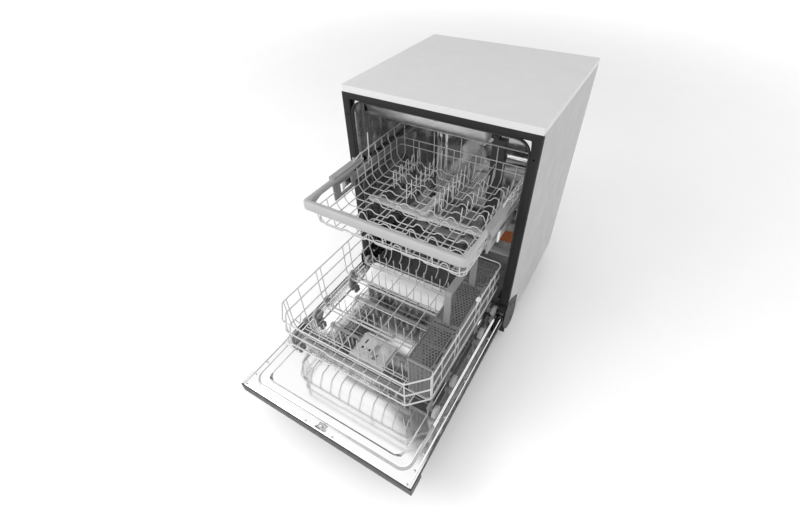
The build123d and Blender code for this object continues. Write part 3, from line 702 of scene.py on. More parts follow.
def floor_and_sump(half, front, back):
    """The tub's floor with the drilled filter plate and the cup that turns in it."""
    plate_box = box("filter_plate")
    hole = (plate_box.x, plate_box.y)
    low = TUB.z0 - 1.0

    def fall(x, y):
        """The floor rises in a small cove towards the walls and falls to the filter."""
        edge = min(half - abs(x), back - y, 60)
        rim = rounded_distance(x, y, half, front, back, 20)
        cove = 14 * (1 - step(rim, 0, 24)) if y > front + 30 else 0
        dish = 1.5 * step(max(abs(x) - 110, abs(y - (hole[1][0] + hole[1][1]) / 2) - 120), 0, 80)
        return low + cove + dish * step(edge, 0, 30)

    xs, ys = lines(-half, half, 8, *hole[0]), lines(front - 4, back, 8, *hole[1])
    floor = Build().sheet(xs, ys, fall, holes=[hole])
    # painted shade: the floor takes the darkened steel
    piece("tub_floor_sheet", floor, SHADED_FLOOR_STEEL, "cabinet", "tub_floor", thick=0.8)

    # perforated filter plate with a plain rim round the cup and the arm's seat
    cup = box("filter_cartridge")
    arm = box("lower_spray_arm")
    open_half = 2.1
    centres_x = spread(-94.5, 94.5, 28)
    centres_y = spread(hole[1][0] + 10, hole[1][1] - 10, 31)
    xs, ys = [sorted({*edges, *(c + d for c in centres for d in (-open_half, open_half))})
              for edges, centres in ((hole[0], centres_x), (hole[1], centres_y))]
    columns, rows = [{round(c, 3) for c in centres} for centres in (centres_x, centres_y)]

    def missing(x, y):
        """Whether the plate is open at this cell: at the cup, and where it is drilled."""
        from_cup, from_arm = [sqrt((x - b.mid_x) ** 2 + (y - b.mid_y) ** 2) for b in (cup, arm)]
        drilled = round(x, 3) in columns and round(y, 3) in rows
        return from_cup < 35 or (drilled and from_cup > 48 and from_arm > 31)

    plate = Build().sheet(xs, ys, lambda x, y: plate_box.z1, missing=missing)
    # painted shade: the filter plate shares the floor's darkened steel
    piece("filter_mesh_plate", plate, SHADED_FLOOR_STEEL, "cabinet", "filter_plate", thick=0.8)

    # filter cup: fine mesh drawn by upright bars, a collar with notches and a turning grip
    cup_x, cup_y = cup.mid_x, cup.mid_y
    spot = (cup_x, cup_y, 0)
    body = Build()
    body.turned([(36, cup.z0), (36, cup.z0 + 3), (33.5, cup.z0 + 3.2), (33.5, 146), (36, 146.2),
                 (36, 150), (42.6, 150.6), (42.6, 156.2), (38, 157), (31, 157), (31, 152),
                 (12, 151), (0, 151)], spot, "z", 48)
    for dx, dy in circle(35, 24):
        x, y = cup_x + dx, cup_y + dy
        body.slab(about(x, 0.8), about(y, 0.8), (cup.z0 + 2, 147))
    grip = [(-27, 151), (-27, 165), (-23, 169), (23, 169), (27, 165), (27, 151), (19, 151),
            (15, 160), (-15, 160), (-19, 151)]
    body.prism([(cup_x + a, b) for a, b in grip], "y", cup_y - 3.4, cup_y + 3.4)
    piece("filter_cup", body, DISPENSER_GREY, "filter", "filter_cartridge")


def spray_arm(name, node, body, jets):
    """A hollow arm with a keel, rounded tips, a hub cap and rows of slanted jets."""
    b = box(node)
    x_mid, y_mid = b.mid_x, b.mid_y
    reach, hub = (b.x1 - b.x0) / 2, 26.0
    low, high = b.z0 + 1.0, b.z1 - 2.5
    arm = Build()
    stations = (0, 20, 34, 60, 100, 140, 170, reach - 14, reach - 6, reach - 1.5, reach)
    xs = sorted({x_mid + s * t for s in (-1, 1) for t in stations})
    points, sides = [], 16
    for x in xs:
        t = abs(x - x_mid)
        tip = sqrt(max(0.0, 1 - max(0.0, (t - reach + 16) / 16) ** 2))
        width = (20 - 5.5 * step(t, 40, reach - 20)) * max(tip, 0.12)
        tall = (high - low) / 2 * max(sqrt(tip), 0.25)
        for dy, dz in circle(1.0, sides):
            flatten = 1.0 if dz > 0 else 0.92
            points.append((x, y_mid + width * dy,
                           (low + high) / 2 + tall * max(-1, min(1, 1.5 * dz)) * flatten))
    arm.add(points, closed_skin(len(xs), sides))
    arm.turned([(7.2, b.z0), (hub - 3, b.z0), (hub, b.z0 + 2), (hub, high - 1),
                (hub - 2, b.z1 - 1), (13, b.z1), (12, b.z1 + 0.01), (7.2, b.z1)],
               (x_mid, y_mid, 0), "z", 32)
    for k, along in enumerate(jets):
        for s in (-1, 1):
            x, y = x_mid + s * along, y_mid + (6 if (k + (s > 0)) % 2 else -6)
            arm.turned([(4.2, 0), (3.6, 0.9), (1.6, 1.0), (1.4, 0.2), (0, 0.2)],
                       (x, y, high - 0.2), "z", 14)
    piece(name, arm, ARM_GREY, body, node, sharp=40)


def tub_fittings():
    """The water duct, the telescopic rails and the hook that the latch catches."""
    b = box("water_feed_duct")
    riser_top, riser_front, wall = 515.0, FRONT + 529.5, b.y1
    duct = Build()
    x0, x1 = -8.0, 46.0
    outline = [(x0, b.z0), (x0, riser_top - 9), (x0 + 8, riser_top), (x1 - 3, riser_top),
               (x1, riser_top - 3), (x1, b.z0)]
    duct.prism(outline, "y", riser_front, wall)
    for z in (250, 330, 410):
        duct.slab((x0 + 4, x1 - 4), (riser_front - 0.8, riser_front), (z, z + 2.5))
    duct.slab((-16, 16), (FRONT + 531, wall), (514, 782))
    dock = (0, 0, 524.5)
    mouth = FRONT + 524.5
    duct.turned([(0, mouth + 2), (5, mouth + 2), (5.2, mouth), (8.6, mouth), (9, mouth + 2),
                 (9, FRONT + 531.5)], dock, "y", 24)
    duct.slab((-20, 18), (FRONT + 250, wall), (782.1, b.z1))
    duct.turned([(30, 782), (30, 776), (27, 771.5), (20, 770), (0, 770)],
                (0, FRONT + 270, 0), "z", 32)
    for dx, dy in circle(18, 8):
        duct.turned([(2.2, 770.4), (1.6, 769.9), (0, 770.2)], (dx, FRONT + 270 + dy, 0), "z", 10)
    piece("feed_duct", duct, DUCT_GREY, "cabinet", "water_feed_duct", bevel=1.2)

    # telescopic rails: an outer channel on the wall and an inner member with a white stop
    fixed, slider = box("upper_rails_fixed"), box("rail_sliders")
    rails, members, stops = Build(), Build(), Build()
    for s in (-1, 1):
        channel = [(268.7, 560), (268.7, 596), (261.2, 596), (261.2, 592.8), (262.4, 592.8),
                   (262.4, 594.8), (266, 594.8), (266, 561.2), (262.4, 561.2), (262.4, 563.2),
                   (261.2, 563.2), (261.2, 560)]
        rails.prism([(s * a, z) for a, z in channel], "y", fixed.y0, fixed.y1)
        for y in (60, 250, 430):
            rails.turned([(5.5, 0), (5, -1.6), (0, -2.2)],
                         (s * 266, FRONT + y, 578), "x", 16, way=s)
        member = [(260.5, 564.4), (260.5, 591.8), (258.0, 591.8), (256.4, 590), (256.4, 586.8),
                  (259, 586.8), (259, 569.4), (256.4, 569.4), (256.4, 566), (258, 564.4)]
        members.prism([(s * a, z) for a, z in member], "y", slider.y0 + 10, slider.y1)
        stops.prism(rounded(*span(s, 256.3, 260.55), 561.2, 594.8, 1.5, 3), "y",
                    slider.y0, slider.y0 + 9.9)
        stops.slab(span(s, 256.3, 260.4), (slider.y0 + 9.9, slider.y0 + 17), (570, 586))
    piece("rail_channels", rails, ZINC, "cabinet", "upper_rails_fixed", bevel=0.25)
    piece("rail_members", members, ZINC, "rail_middle", "rail_sliders", bevel=0.25)
    piece("rail_stops", stops, WHITE_PLASTIC, "rail_middle", bevel=0.5)

    striker = box("latch_striker")
    hook = Build()
    hook.slab(striker.x, striker.y, (striker.z1 - 1.6, striker.z1))
    loop = [(-6, FRONT + 18, striker.z1 - 1), (-6, FRONT + 18, striker.z0 + 2),
            (6, FRONT + 18, striker.z0 + 2), (6, FRONT + 18, striker.z1 - 1)]
    hook.tube(bent(loop, 3), 1.9, 10, soft_ends=False)
    for x in (-16, 16):
        screw(hook, (x, FRONT + 23, striker.z1 - 1.6), 3.2, "z", -1)
    piece("striker_hook", hook, ZINC, "cabinet", "latch_striker", sharp=50)


# ---- door ----
FLANGE, FIELD, TRACK = LINER.z1 - 6.0, LINER.z1 - 3.0, LINER.z1
TRACK_X, TRACK_END = 273.0, FRONT - 616.0
FIELD_X, FIELD_END = 239.0, FRONT - 590.0
RAMP_Y, RAMP_RISE = FRONT - 104.0, 26.0     # the liner slopes up towards the hinges from here


def door():
    """The pressed liner and all that rides with it."""
    well = box("dispenser_body")
    well_hole = ((well.x0 + 1, well.x1 - 1), (well.y0 + 1, well.y1 - 1))
    latch_hole = ((-12.6, 12.6), at(-632, -612))
    rear = LINER.y1

    def pressed(x, y):
        """The liner's height: flange, raised track with round shoulders, lower field."""
        outer = rounded_distance(x, y, TRACK_X, TRACK_END, rear + 200, 34)
        inner = rounded_distance(x, y, FIELD_X, FIELD_END, rear + 200, 24)
        wide = 9.0 - 4.5 * step(y, FRONT - 560, FRONT - 490)
        z = FLANGE + (TRACK - FLANGE) * step(outer, -1.0, wide)
        z -= (TRACK - FIELD) * step(inner, -1.5, 1.5)
        sloped = rounded_distance(x, y, FIELD_X - 4, RAMP_Y, RAMP_Y + 400, 14)
        return z + ramp_height(y) * step(sloped, 0, 7)

    def ramp_height(y):
        return RAMP_RISE * min(1, max(0, (y - RAMP_Y) / (rear - 4 - RAMP_Y)))

    xs = lines(*LINER.x, 8, *well_hole[0], *latch_hole[0],
               *[s * (TRACK_X - d) for s in (-1, 1) for d in (-1, 1.5, 4, 6.5, 9)],
               *[s * (FIELD_X + d) for s in (-1, 1) for d in (-2, -1, 0, 1, 2)])
    ys = lines(LINER.y0, rear, 8, *well_hole[1], *latch_hole[1], rear - 4, RAMP_Y,
               *[TRACK_END + d for d in (-1, 1.5, 4, 6.5, 9)],
               *[FIELD_END + d for d in (-2, -1, 0, 1, 2)])
    corner_x = [s * v for s in (-1, 1) for v in spread(198, 276, 28)]
    corner_y = at(*spread(-618, -556, 24))
    xs, ys = sorted({*xs, *corner_x}), sorted({*ys, *corner_y})
    sheet = Build().sheet(xs, ys, pressed, holes=[well_hole, latch_hole])
    piece("door_inner_sheet", sheet, MIRROR, "door", "door_liner", thick=0.8, sharp=60)

    # painted shade: a thin darker steel ribbon on the track's outer shoulder, down both sides and
    # round the front corners, stands for the shadowed crease
    turn = 34.0
    side_run = [(-TRACK_X, y, -1, 0) for y in spread(FRONT - 470, TRACK_END + turn, 10)]
    side_run += [(turn - TRACK_X - turn * cos(a), TRACK_END + turn * (1 - sin(a)),
                  -cos(a), -sin(a)) for a in spread(0.12, pi / 2, 12)]
    front_run = [(x, TRACK_END, 0, -1) for x in spread(turn + 8 - TRACK_X, TRACK_X - turn - 8, 30)]
    trail = side_run + front_run + [(-x, y, -nx, ny) for x, y, nx, ny in side_run[::-1]]

    def on_shade_strip(u, inward, _):
        x, y, nx, ny = trail[round(u)]
        x, y = x - nx * inward, y - ny * inward
        return x, y, pressed(x, y) + 0.35

    bead = Build().sheet(list(range(len(trail))), spread(-0.6, 6.0, 6), lambda u, v: 0.0,
                         place=on_shade_strip)
    piece("door_track_crease_shade", bead, CREASE_SHADE_STEEL, "door", thick=0.3)

    # the plain plate that lies on the slope
    outline = rounded(6 - FIELD_X, FIELD_X - 6, RAMP_Y + 3, rear - 6, 16)
    points = [(x, y, FIELD + ramp_height(y) + up) for up in (0.2, 1.1) for x, y in outline]
    ramp = Build().add(points, closed_skin(2, len(outline)))
    piece("door_ramp_plate", ramp, RAMP_STEEL, "door", bevel=0.3)

    panel = box("door_outer_panel")
    skin = Build()
    hem = 1.0
    skin.slab(panel.x, panel.y, (panel.z0, panel.z0 + hem))
    for s in (-1, 1):
        skin.slab(span(s, panel.x1 - hem, panel.x1), panel.y, (panel.z0 + hem, panel.z1))
        skin.slab(span(s, panel.x1 - 4.6, panel.x1 - hem), panel.y, (panel.z1 - hem, panel.z1))
    skin.slab((panel.x0 + hem, panel.x1 - hem), (panel.y1 - hem, panel.y1),
              (panel.z0 + hem, panel.z1 - 4))
    strips = Build()
    for s in (-1, 1):
        strips.slab(span(s, LINER.x1 + 0.1, panel.x1 - 0.4), (LINER.y0 + 1, panel.y1 - 1),
                    (panel.z1 + 0.05, panel.z1 + 0.45))
    piece("liner_edge_strips", strips, MIRROR, "door")
    piece("door_outer_skin", skin, BLACK_PAINT, "door", "door_outer_panel", bevel=0.7)
    pad = box("door_insulation")
    felt = Build()
    clear = 4
    cut_out = ((well.x0 - clear, well.x1 + clear), (well.y0 - clear, well.y1 + clear))
    around_hole(felt, pad.x, pad.y, cut_out, pad.z)
    piece("insulation_mat", felt, FELT, "door", "door_insulation", bevel=3.0)

    console_end()
    heads = Build()
    b = box("door_screws")
    spots = [(s * 284, y) for s in (-1, 1) for y in (-635, -597, -548, -430, -300, -120)]
    for x, y in [*spots, (-51, -635), (44, -635)]:
        screw(heads, (x, FRONT + y, b.z0), 3.6)
    piece("liner_screws", heads, ZINC, "door", "door_screws", sharp=50)

    latch = box("door_latch")
    bolt = Build()
    bolt.slab((-12.3, 12.3), (latch_hole[1][0] + 0.3, latch_hole[1][1] - 0.3),
              (latch.z0, FLANGE - 1.2))
    nose = from_front([(-629, FLANGE - 1.3), (-629, latch.z1 - 4), (-627, latch.z1 - 3),
                       (-625, latch.z1 - 3), (-623.5, latch.z1 - 5), (-623.5, FLANGE - 1.3)])
    bolt.prism(nose, "x", -3.5, 3.5)
    piece("latch_bolt", bolt, ZINC, "latch", "door_latch", bevel=0.5)
    hinges()
    dispenser(well)


def console_end():
    """The door's thick end: its controls are on the side that faces out when it is shut."""
    b = box("control_console")
    lens, pocket = box("display_window"), ((-75.0, 75.0), at(-628, -601))
    low = b.z0
    shell = Build()
    ends = b.x
    keep = 24.0
    upper = low + keep
    # upper block with its lip, then the lower layer as strips round the pocket and windows
    lip = [(b.y0, upper), (b.y0, b.z1), (b.y0 + 2.8, b.z1), (b.y0 + 2.8, FLANGE - 1.1),
           (b.y1, FLANGE - 1.1), (b.y1, upper)]
    bolt_x, bolt_y = 14.0, at(-633, -611)
    shell.prism(lip, "x", b.x0, -bolt_x)
    shell.prism(lip, "x", bolt_x, b.x1)
    shell.slab((-bolt_x, bolt_x), (b.y0, bolt_y[0]), (upper, FLANGE - 1.1))
    shell.slab((-bolt_x, bolt_x), (b.y0, b.y0 + 2.8), (FLANGE - 1.1, b.z1))
    shell.slab((-bolt_x, bolt_x), (bolt_y[1], b.y1), (upper, FLANGE - 1.1))
    around_hole(shell, b.x, (b.y0 + 3, b.y1), pocket, (low + 2.2, upper))
    # face plate with openings for the pocket, the display and the three buttons
    buttons = [box(n) for n in ("power_button", "program_button", "start_button")]
    holes = [pocket, ((lens.x0 - 0.3, lens.x1 + 0.3), (lens.y0 - 0.3, lens.y1 + 0.3))]
    holes += [((c.x0 - 0.4, c.x1 + 0.4), (c.y0 - 0.4, c.y1 + 0.4)) for c in buttons]
    xs = sorted({*ends, *(v for h in holes for v in h[0])})
    ys = sorted({b.y0 + 3, b.y1, *(v for h in holes for v in h[1])})
    plate = Build()
    plate.sheet(xs, ys, lambda x, y: low, holes=holes)
    piece("console_face", plate, CONSOLE, "door", thick=-2.2)
    nose = [(b.y0 + 3, low), (b.y0 + 0.9, low + 0.9), (b.y0, low + 3), (b.y0, upper),
            (b.y0 + 3.05, upper)]
    shell.prism(nose, "x", *ends)
    piece("console_body", shell, CONSOLE, "door", "control_console", bevel=0.6)

    glass = Build().prism(rounded(*lens.x, *lens.y, 3), "z", lens.z0, lens.z1)
    piece("display_lens", glass, LENS, "door", "display_window", bevel=0.4)
    for name, b in zip(("power", "program", "start"), buttons):
        spot = (b.mid_x, b.mid_y, 0)
        r = (b.x1 - b.x0) / 2
        cap = Build().turned([(0, b.z0 + 0.7), (r * 0.55, b.z0 + 0.45), (r * 0.85, b.z0),
                              (r * 0.97, b.z0 + 0.4), (r, b.z0 + 1.2), (r, b.z1), (0, b.z1)],
                             spot, "z", 40)
        bezel = Build().turned([(r + 0.5, low - 0.05), (r + 0.6, low - 0.35),
                                (r + 1.6, low - 0.35), (r + 1.9, low + 0.3), (r + 0.5, low + 0.3)],
                               spot, "z", 40, ring=True)
        piece(f"{name}_cap", cap, BUTTON, name, f"{name}_button")
        piece(f"{name}_bezel", bezel, ZINC, "door")


def hinges():
    """Arms on the door, ears and pins on the cabinet, and the two springs."""
    arms = box("door_hinge_arms")
    pin_y, pin_z = FRONT - 2.0, 172.0
    steel, pins = Build(), Build()
    for s in (-1, 1):
        low, high = arms.z0, FLANGE - 1.5
        eye = [(pin_y + 10 * cos(a), pin_z + 10 * sin(a))
               for a in [radians(d) for d in range(-70, 196, 14)]]
        outline = [(arms.y0, low), (arms.y0, high), (pin_y - 14, high), *eye[::-1],
                   (pin_y + 5, low + 8), (pin_y - 6, low)]
        steel.prism(outline, "x", *span(s, 284, 288.4))
        for y in (-180, -110, -50):
            screw(steel, (s * 284, FRONT + y, 154), 4, "x", -s)
        for ear in ((279, 283), (289.4, 293.4)):
            plate = from_front([(-11, 164), (-11, 180), (-7, 184), (60, 184), (60, 140),
                                (10, 140)])
            pins.prism(plate, "x", *span(s, *ear))
        pins.slab(span(s, 283.1, 289.3), at(40, 60), (140, 184))
        pins.turned([(0, 277.2), (4.4, 277.2), (5.6, 277.8), (5.6, 278.8), (4.9, 279), (4.9, 294),
                     (5.6, 294.2), (5.2, 295.2), (0, 295.4)], (0, pin_y, pin_z), "x", 24, way=s)
    piece("hinge_arm_plates", steel, DARK_STEEL, "door", "door_hinge_arms", bevel=0.3)
    piece("hinge_ears_and_pins", pins, DARK_STEEL, "cabinet", "hinge_brackets", bevel=0.3)

    # coil springs in place of the plain rods, with hooked ends
    b = box("door_springs")
    coils = Build()
    z, r = b.mid_z, 6.6
    turns, wire = 34, 1.2
    for s in (-1, 1):
        path = [(s * 286, b.y0 + 1.5, z)]
        steps = turns * 10
        for k in range(steps + 1):
            a = 2 * pi * k / 10
            y = b.y0 + 10 + (b.y1 - b.y0 - 20) * k / steps
            path.append((s * 286 + r * cos(a), y, z + r * sin(a)))
        path.append((s * 286, b.y1 - 1.5, z))
        coils.tube(path, wire, 6)
    piece("spring_coils", coils, ZINC, "cabinet", "door_springs", sharp=60)


def dispenser(b):
    """Detergent and rinse-aid dispenser: frame, open wells, sliding lid, cap and lever."""
    face = LINER.z1
    body = Build()
    cup = ((-64.0, -6.0), at(-384, -312))
    rinse_x, rinse_y, rinse_r = 22.0, FRONT - 330.0, 17.4
    rinse = ((rinse_x - rinse_r, rinse_x + rinse_r), (rinse_y - rinse_r, rinse_y + rinse_r))
    xs = lines(b.x0 + 2, b.x1 - 2, 6, *cup[0], *rinse[0])
    ys = lines(b.y0 + 2, b.y1 - 2, 6, *cup[1], *rinse[1])

    def top(x, y):
        edge = min(x - b.x0, b.x1 - x, y - b.y0, b.y1 - y)
        return b.z1 - 1.2 * (1 - step(edge, 2, 6))

    body.sheet(xs, ys, top, holes=[cup])
    piece("dispenser_top", body, DISPENSER_GREY, "door", thick=1.6)
    wells = Build()
    floor = face - 20
    wells.slab(b.x, b.y, (b.z0, floor))
    for x in ((b.x0, b.x0 + 2.2), (cup[0][0] - 2, cup[0][0]), (cup[0][1], cup[0][1] + 2),
              (b.x1 - 2.2, b.x1)):
        wells.slab(x, b.y, (floor, b.z1 - 1.7))
    for y in ((b.y0, b.y0 + 2.2), (cup[1][0] - 2, cup[1][0]), (cup[1][1], cup[1][1] + 2),
              (b.y1 - 2.2, b.y1)):
        wells.slab((b.x0 + 2.2, b.x1 - 2.2), y, (floor, b.z1 - 1.7))
    wells.slab((cup[0][0], cup[0][1]), at(-352, -350), (floor, face - 6))
    # what stands on its face: the latch block with its lever and slots, ribs, a level glass
    up = b.z1
    wells.slab((-2, 12), at(-388, -352), (up - 1, up + 1.6))
    wells.slab((16, 43), at(-388, -354), (up - 1, up + 1.2))
    for y in (-382, -375, -368, -361):
        wells.slab((19, 40), (FRONT + y, FRONT + y + 2.4), (up + 1.2, up + 2.2))
    for x, high in ((-71.3, 0.2), (45.4, 4)):
        wells.slab(about(x, 1.6), (b.y0 + 3, b.y1 - 3), (up - 1, up + high))
    piece("dispenser_case", wells, DISPENSER_GREY, "door", "dispenser_body", bevel=0.5)
    # painted shade: thin near-black plates and discs stand for the shade in the slots and the
    # three small holes
    marks = Build()
    marks.slab((0, 4), at(-384, -366), (up + 1.55, up + 1.75))
    marks.slab((6.5, 10), at(-384, -358), (up + 1.55, up + 1.75))
    for k in range(3):
        marks.turned([(2.4, 0), (2.2, 0.5), (0, 0.5)], (43.6, FRONT - 318 - 8 * k, up - 1.1),
                     "z", 14)
    piece("dispenser_slots", marks, DARK_VOID, "door")

    lid = box("dispenser_lid")
    cover = Build()
    y0, y1 = lid.y0, lid.y1
    base = lid.z0
    cover.prism(rounded(*lid.x, y0, y1, 5), "z", base, base + 2.2)
    cover.prism(rounded(lid.x0 + 5, lid.x1 - 12, y0 + 6, y1 - 6, 4), "z", base + 2.2, base + 4.4)
    for k in range(5):
        x = lid.x1 - 9.5 + 1.6 * k
        cover.slab((x, x + 0.8), (y0 + 20, y1 - 20), (base + 2.2, lid.z1 - 0.8 * (k < 1)))
    for y in ((y0 + 9, y0 + 11), (y1 - 11, y1 - 9)):
        cover.slab((lid.x0 + 10, lid.x1 - 18), y, (base + 4.4, base + 5.2))
    piece("detergent_lid", cover, DISPENSER_GREY, "lid", "dispenser_lid", bevel=0.5)
    # painted shade: thin near-black plates stand for the shade in the lid's slits
    slits = Build()
    for k in range(3):
        x = lid.x0 + 15 + 13 * k
        slits.prism(rounded(x, x + 8, y0 + 26, y0 + 35, 3.5), "z", base + 4.3, base + 4.6)
    slits.slab((lid.x0 + 16, lid.x0 + 21), (y1 - 34, y1 - 16), (base + 4.3, base + 4.6))
    piece("lid_slits", slits, DARK_VOID, "lid")

    cap_box = box("rinse_aid_cap")
    top_z = cap_box.z1
    cap = Build().turned([(0, cap_box.z0), (16.6, cap_box.z0), (17, cap_box.z0 + 1),
                          (17, top_z - 4.6), (15.6, top_z - 3.8), (0, top_z - 3.8)],
                         (rinse_x, rinse_y, 0), "z", 48)
    for dx, dy in circle(16.3, 24):
        cap.turned([(0.9, face + 1.5), (0.9, top_z - 4.2), (0, top_z - 4.1)],
                   (rinse_x + dx, rinse_y + dy, 0), "z", 6)
    grip = [(-13.5, top_z - 4), (-12.5, top_z - 0.6), (-11, top_z), (11, top_z),
            (12.5, top_z - 0.6), (13.5, top_z - 4)]
    cap.prism([(rinse_x + a, z) for a, z in grip], "y", rinse_y - 2.4, rinse_y + 2.4)
    piece("rinse_cap_knob", cap, DISPENSER_GREY, "rinse_cap", "rinse_aid_cap", slot="dark_plastic")


# ---- upper rack ----
UP_X, UP_FLOOR = RIM.x1, 535.0
UP_BACK = FRONT + 222.0
ADJUST = Box(247.2, 251.2, FRONT - 156, FRONT - 52, 554, 615.8)


def swept(path, profile):
    """A profile carried along a level path; profile(y) gives (inwards, height) pairs there."""
    points = []
    for i, (x, y) in enumerate(path):
        before, after = path[max(i - 1, 0)], path[min(i + 1, len(path) - 1)]
        a = atan2(after[1] - before[1], after[0] - before[0])
        nx, ny = -sin(a), cos(a)
        points += [(x + nx * inward, y + ny * inward, z) for inward, z in profile(y)]
    return Build().add(points, closed_skin(len(path), len(points) // len(path)))


def upper_rim():
    """The moulded handle across the front, running back as an arm along each side."""
    front, back, x = *RIM.y, UP_X
    corner = 16.0
    path = [(-x, y) for y in spread(back, front + corner + 26, 9)]
    path += [(-x, front + corner + 14)]
    for k in range(9):
        a = pi / 2 * k / 8
        path.append((-x + corner - corner * cos(a), front + corner - corner * sin(a)))
    path += [(v, front) for v in spread(-x + corner + 20, x - corner - 20, 9)]
    path += [(-a, b) for a, b in reversed(path[:19])]

    def profile(y):
        along = step(y, front + 26, front + 70)
        deep = 27 - 7 * along - 6 * step(y, back - 30, back)
        wide = 20 - 6 * along
        top = RIM.z1
        low = top - deep
        return [(0.0, low + 5), (0.6, top - 7), (2.4, top - 1.8), (5.0, top - 0.2), (6.5, top),
                (wide - 6, top - 0.6), (wide - 1.6, top - 2.6), (wide - 0.2, top - 6),
                (wide - 0.4, low + 7), (wide - 2.4, low + 1.6), (wide - 5, low),
                (5.0, low), (1.4, low + 1.5)]

    piece("upper_rack_handle", swept(path, profile), RIM_GREY, "upper_rack", "upper_rack_rim",
          sharp=50)


def upper_wires():
    """Coated wires: hooped sides, cup ribs with humps, long floor wires and tines."""
    x, floor, back, front = UP_X - 5.0, UP_FLOOR, UP_BACK, RIM.y0 + 22
    top_side, top_rear = 640.0, 656.0
    wires, r_thick, r_thin = Build(), 2.0, 1.6

    # top wire round the rear half, then two lower bands round the sides and back
    hoop = [(x - 10, back - 2, top_rear), (x, back - 14, top_side + 12),
            (x, FRONT - 20, top_side + 6), (x, FRONT - 60, top_side - 6)]
    wires.tube(bent(mirrored(hoop), 8, 3), r_thick, 8)
    inner = x - 2 * r_thick
    for z in (606.0, 579.0):
        band = [(inner - 8, back - 6, z), (inner, back - 14, z), (inner, FRONT - 46, z)]
        wires.tube(bent(mirrored(band), 6, 3), r_thin, 8)
    # two bands round the front below the handle: the upper one ends at the adjusters, and
    # the lower one runs on along the sides
    z = 590.0
    for s in (-1, 1):
        wires.tube(bent([(s * inner, ADJUST.y0 - 2, z), (s * inner, front + 20, z),
                         (s * (inner - 20), front, z)], 14, 4), r_thin, 8)
    wires.tube(mirrored([(inner - 20, front, z)]), r_thin, 8)
    z, side, near = 560.0, inner - 5, front + 5
    half = [(side - 20, near, z), (side, near + 20, z), (side, FRONT + 150, z)]
    wires.tube(bent(mirrored(half), 14, 4), r_thick, 8)

    # cross ribs: up each side, over the top wire, and humped along the floor
    humps = (-142.0, -62.0, 28.0, 96.0, 172.0)
    cross = floor - 3.4
    ribs_y = [front + 26 + 38.6 * k for k in range(12)]
    for k, y in enumerate(ribs_y):
        height = 15.0 if k % 2 else 24.0
        run = []
        for i, hump in enumerate(humps):
            tall = height if (i + k) % 3 else 9.0
            run += [(hump - 17, y, cross), (hump - 7, y, cross + tall),
                    (hump + 7, y, cross + tall), (hump + 17, y, cross)]
        if y > FRONT - 56:
            up = [(220, cross), (236, floor + 20), (236, 612), (245, 626),
                  (243, top_side + 3), (249, top_side + 10)]
        else:
            beside_plate = ADJUST.y0 - 12 < y < ADJUST.y1 + 12
            up = [(220, cross), (234, floor + 14), (236, 566 if beside_plate else 592)]
        left, right = [[(s * a, y, z) for a, z in up] for s in (-1, 1)]
        wires.tube(bent([*left[::-1], *run, *right], 7, 2), r_thin, 8)

    # long floor wires, turned up at the front into the two bands and up the rear wall
    for k, px in enumerate((-222, -186, -164, -104, -86, -28, -4, 52, 70, 122, 146, 190, 222)):
        tall_front = k % 2 == 0
        start = [(px, front + 4, 592 if tall_front else 562), (px, front + 8, floor + 20),
                 (px, front + 26, floor)]
        end = [(px, back - 22, floor), (px, back - 8, floor + 16)]
        end += [(px, back - 7, top_rear - 1)] if k % 3 == 0 else [(px, back - 7, 607)]
        wires.tube(bent([*start, *end], 12, 3), r_thin, 8)

    # tines: hairpin hoops at the left, straight posts in the middle and at the right
    foot = floor + 2
    for y in at(22, 60, 99, 137, 176):
        hoop = [(-143, y - 8, foot), (-143, y - 8, 598), (-143, y + 8, 598), (-143, y + 8, foot)]
        wires.tube(bent(hoop, 8, 4), 1.5, 8)
    for px, tall, first, gap in ((-64, 606, -40, 29.0), (44, 606, -60, 29.0), (58, 596, -45, 38.6),
                                 (128, 600, -60, 38.6), (196, 588, -30, 38.6)):
        y = first
        while y < 196:
            lean = 4.0 if px > 100 else 2.0
            wires.tube([(px, FRONT + y, foot), (px + lean, FRONT + y + 2, tall)], 1.5, 8)
            y += gap
    # the tall post and the cup-shelf stubs on the left
    wires.tube(bent([(-236, FRONT + 12, 600), (-232, FRONT + 14, 650), (-232, FRONT + 16, 708)],
                    10), 1.9, 8)
    # slanted support wires in the rear right corner
    for px in (64, 92):
        wires.tube([(px, back - 60, floor + 3), (px + 26, back - 8, floor + 60)], 1.5, 8)
    piece("upper_rack_basket", wires, WIRE, "upper_rack", "upper_rack_wires", sharp=60)


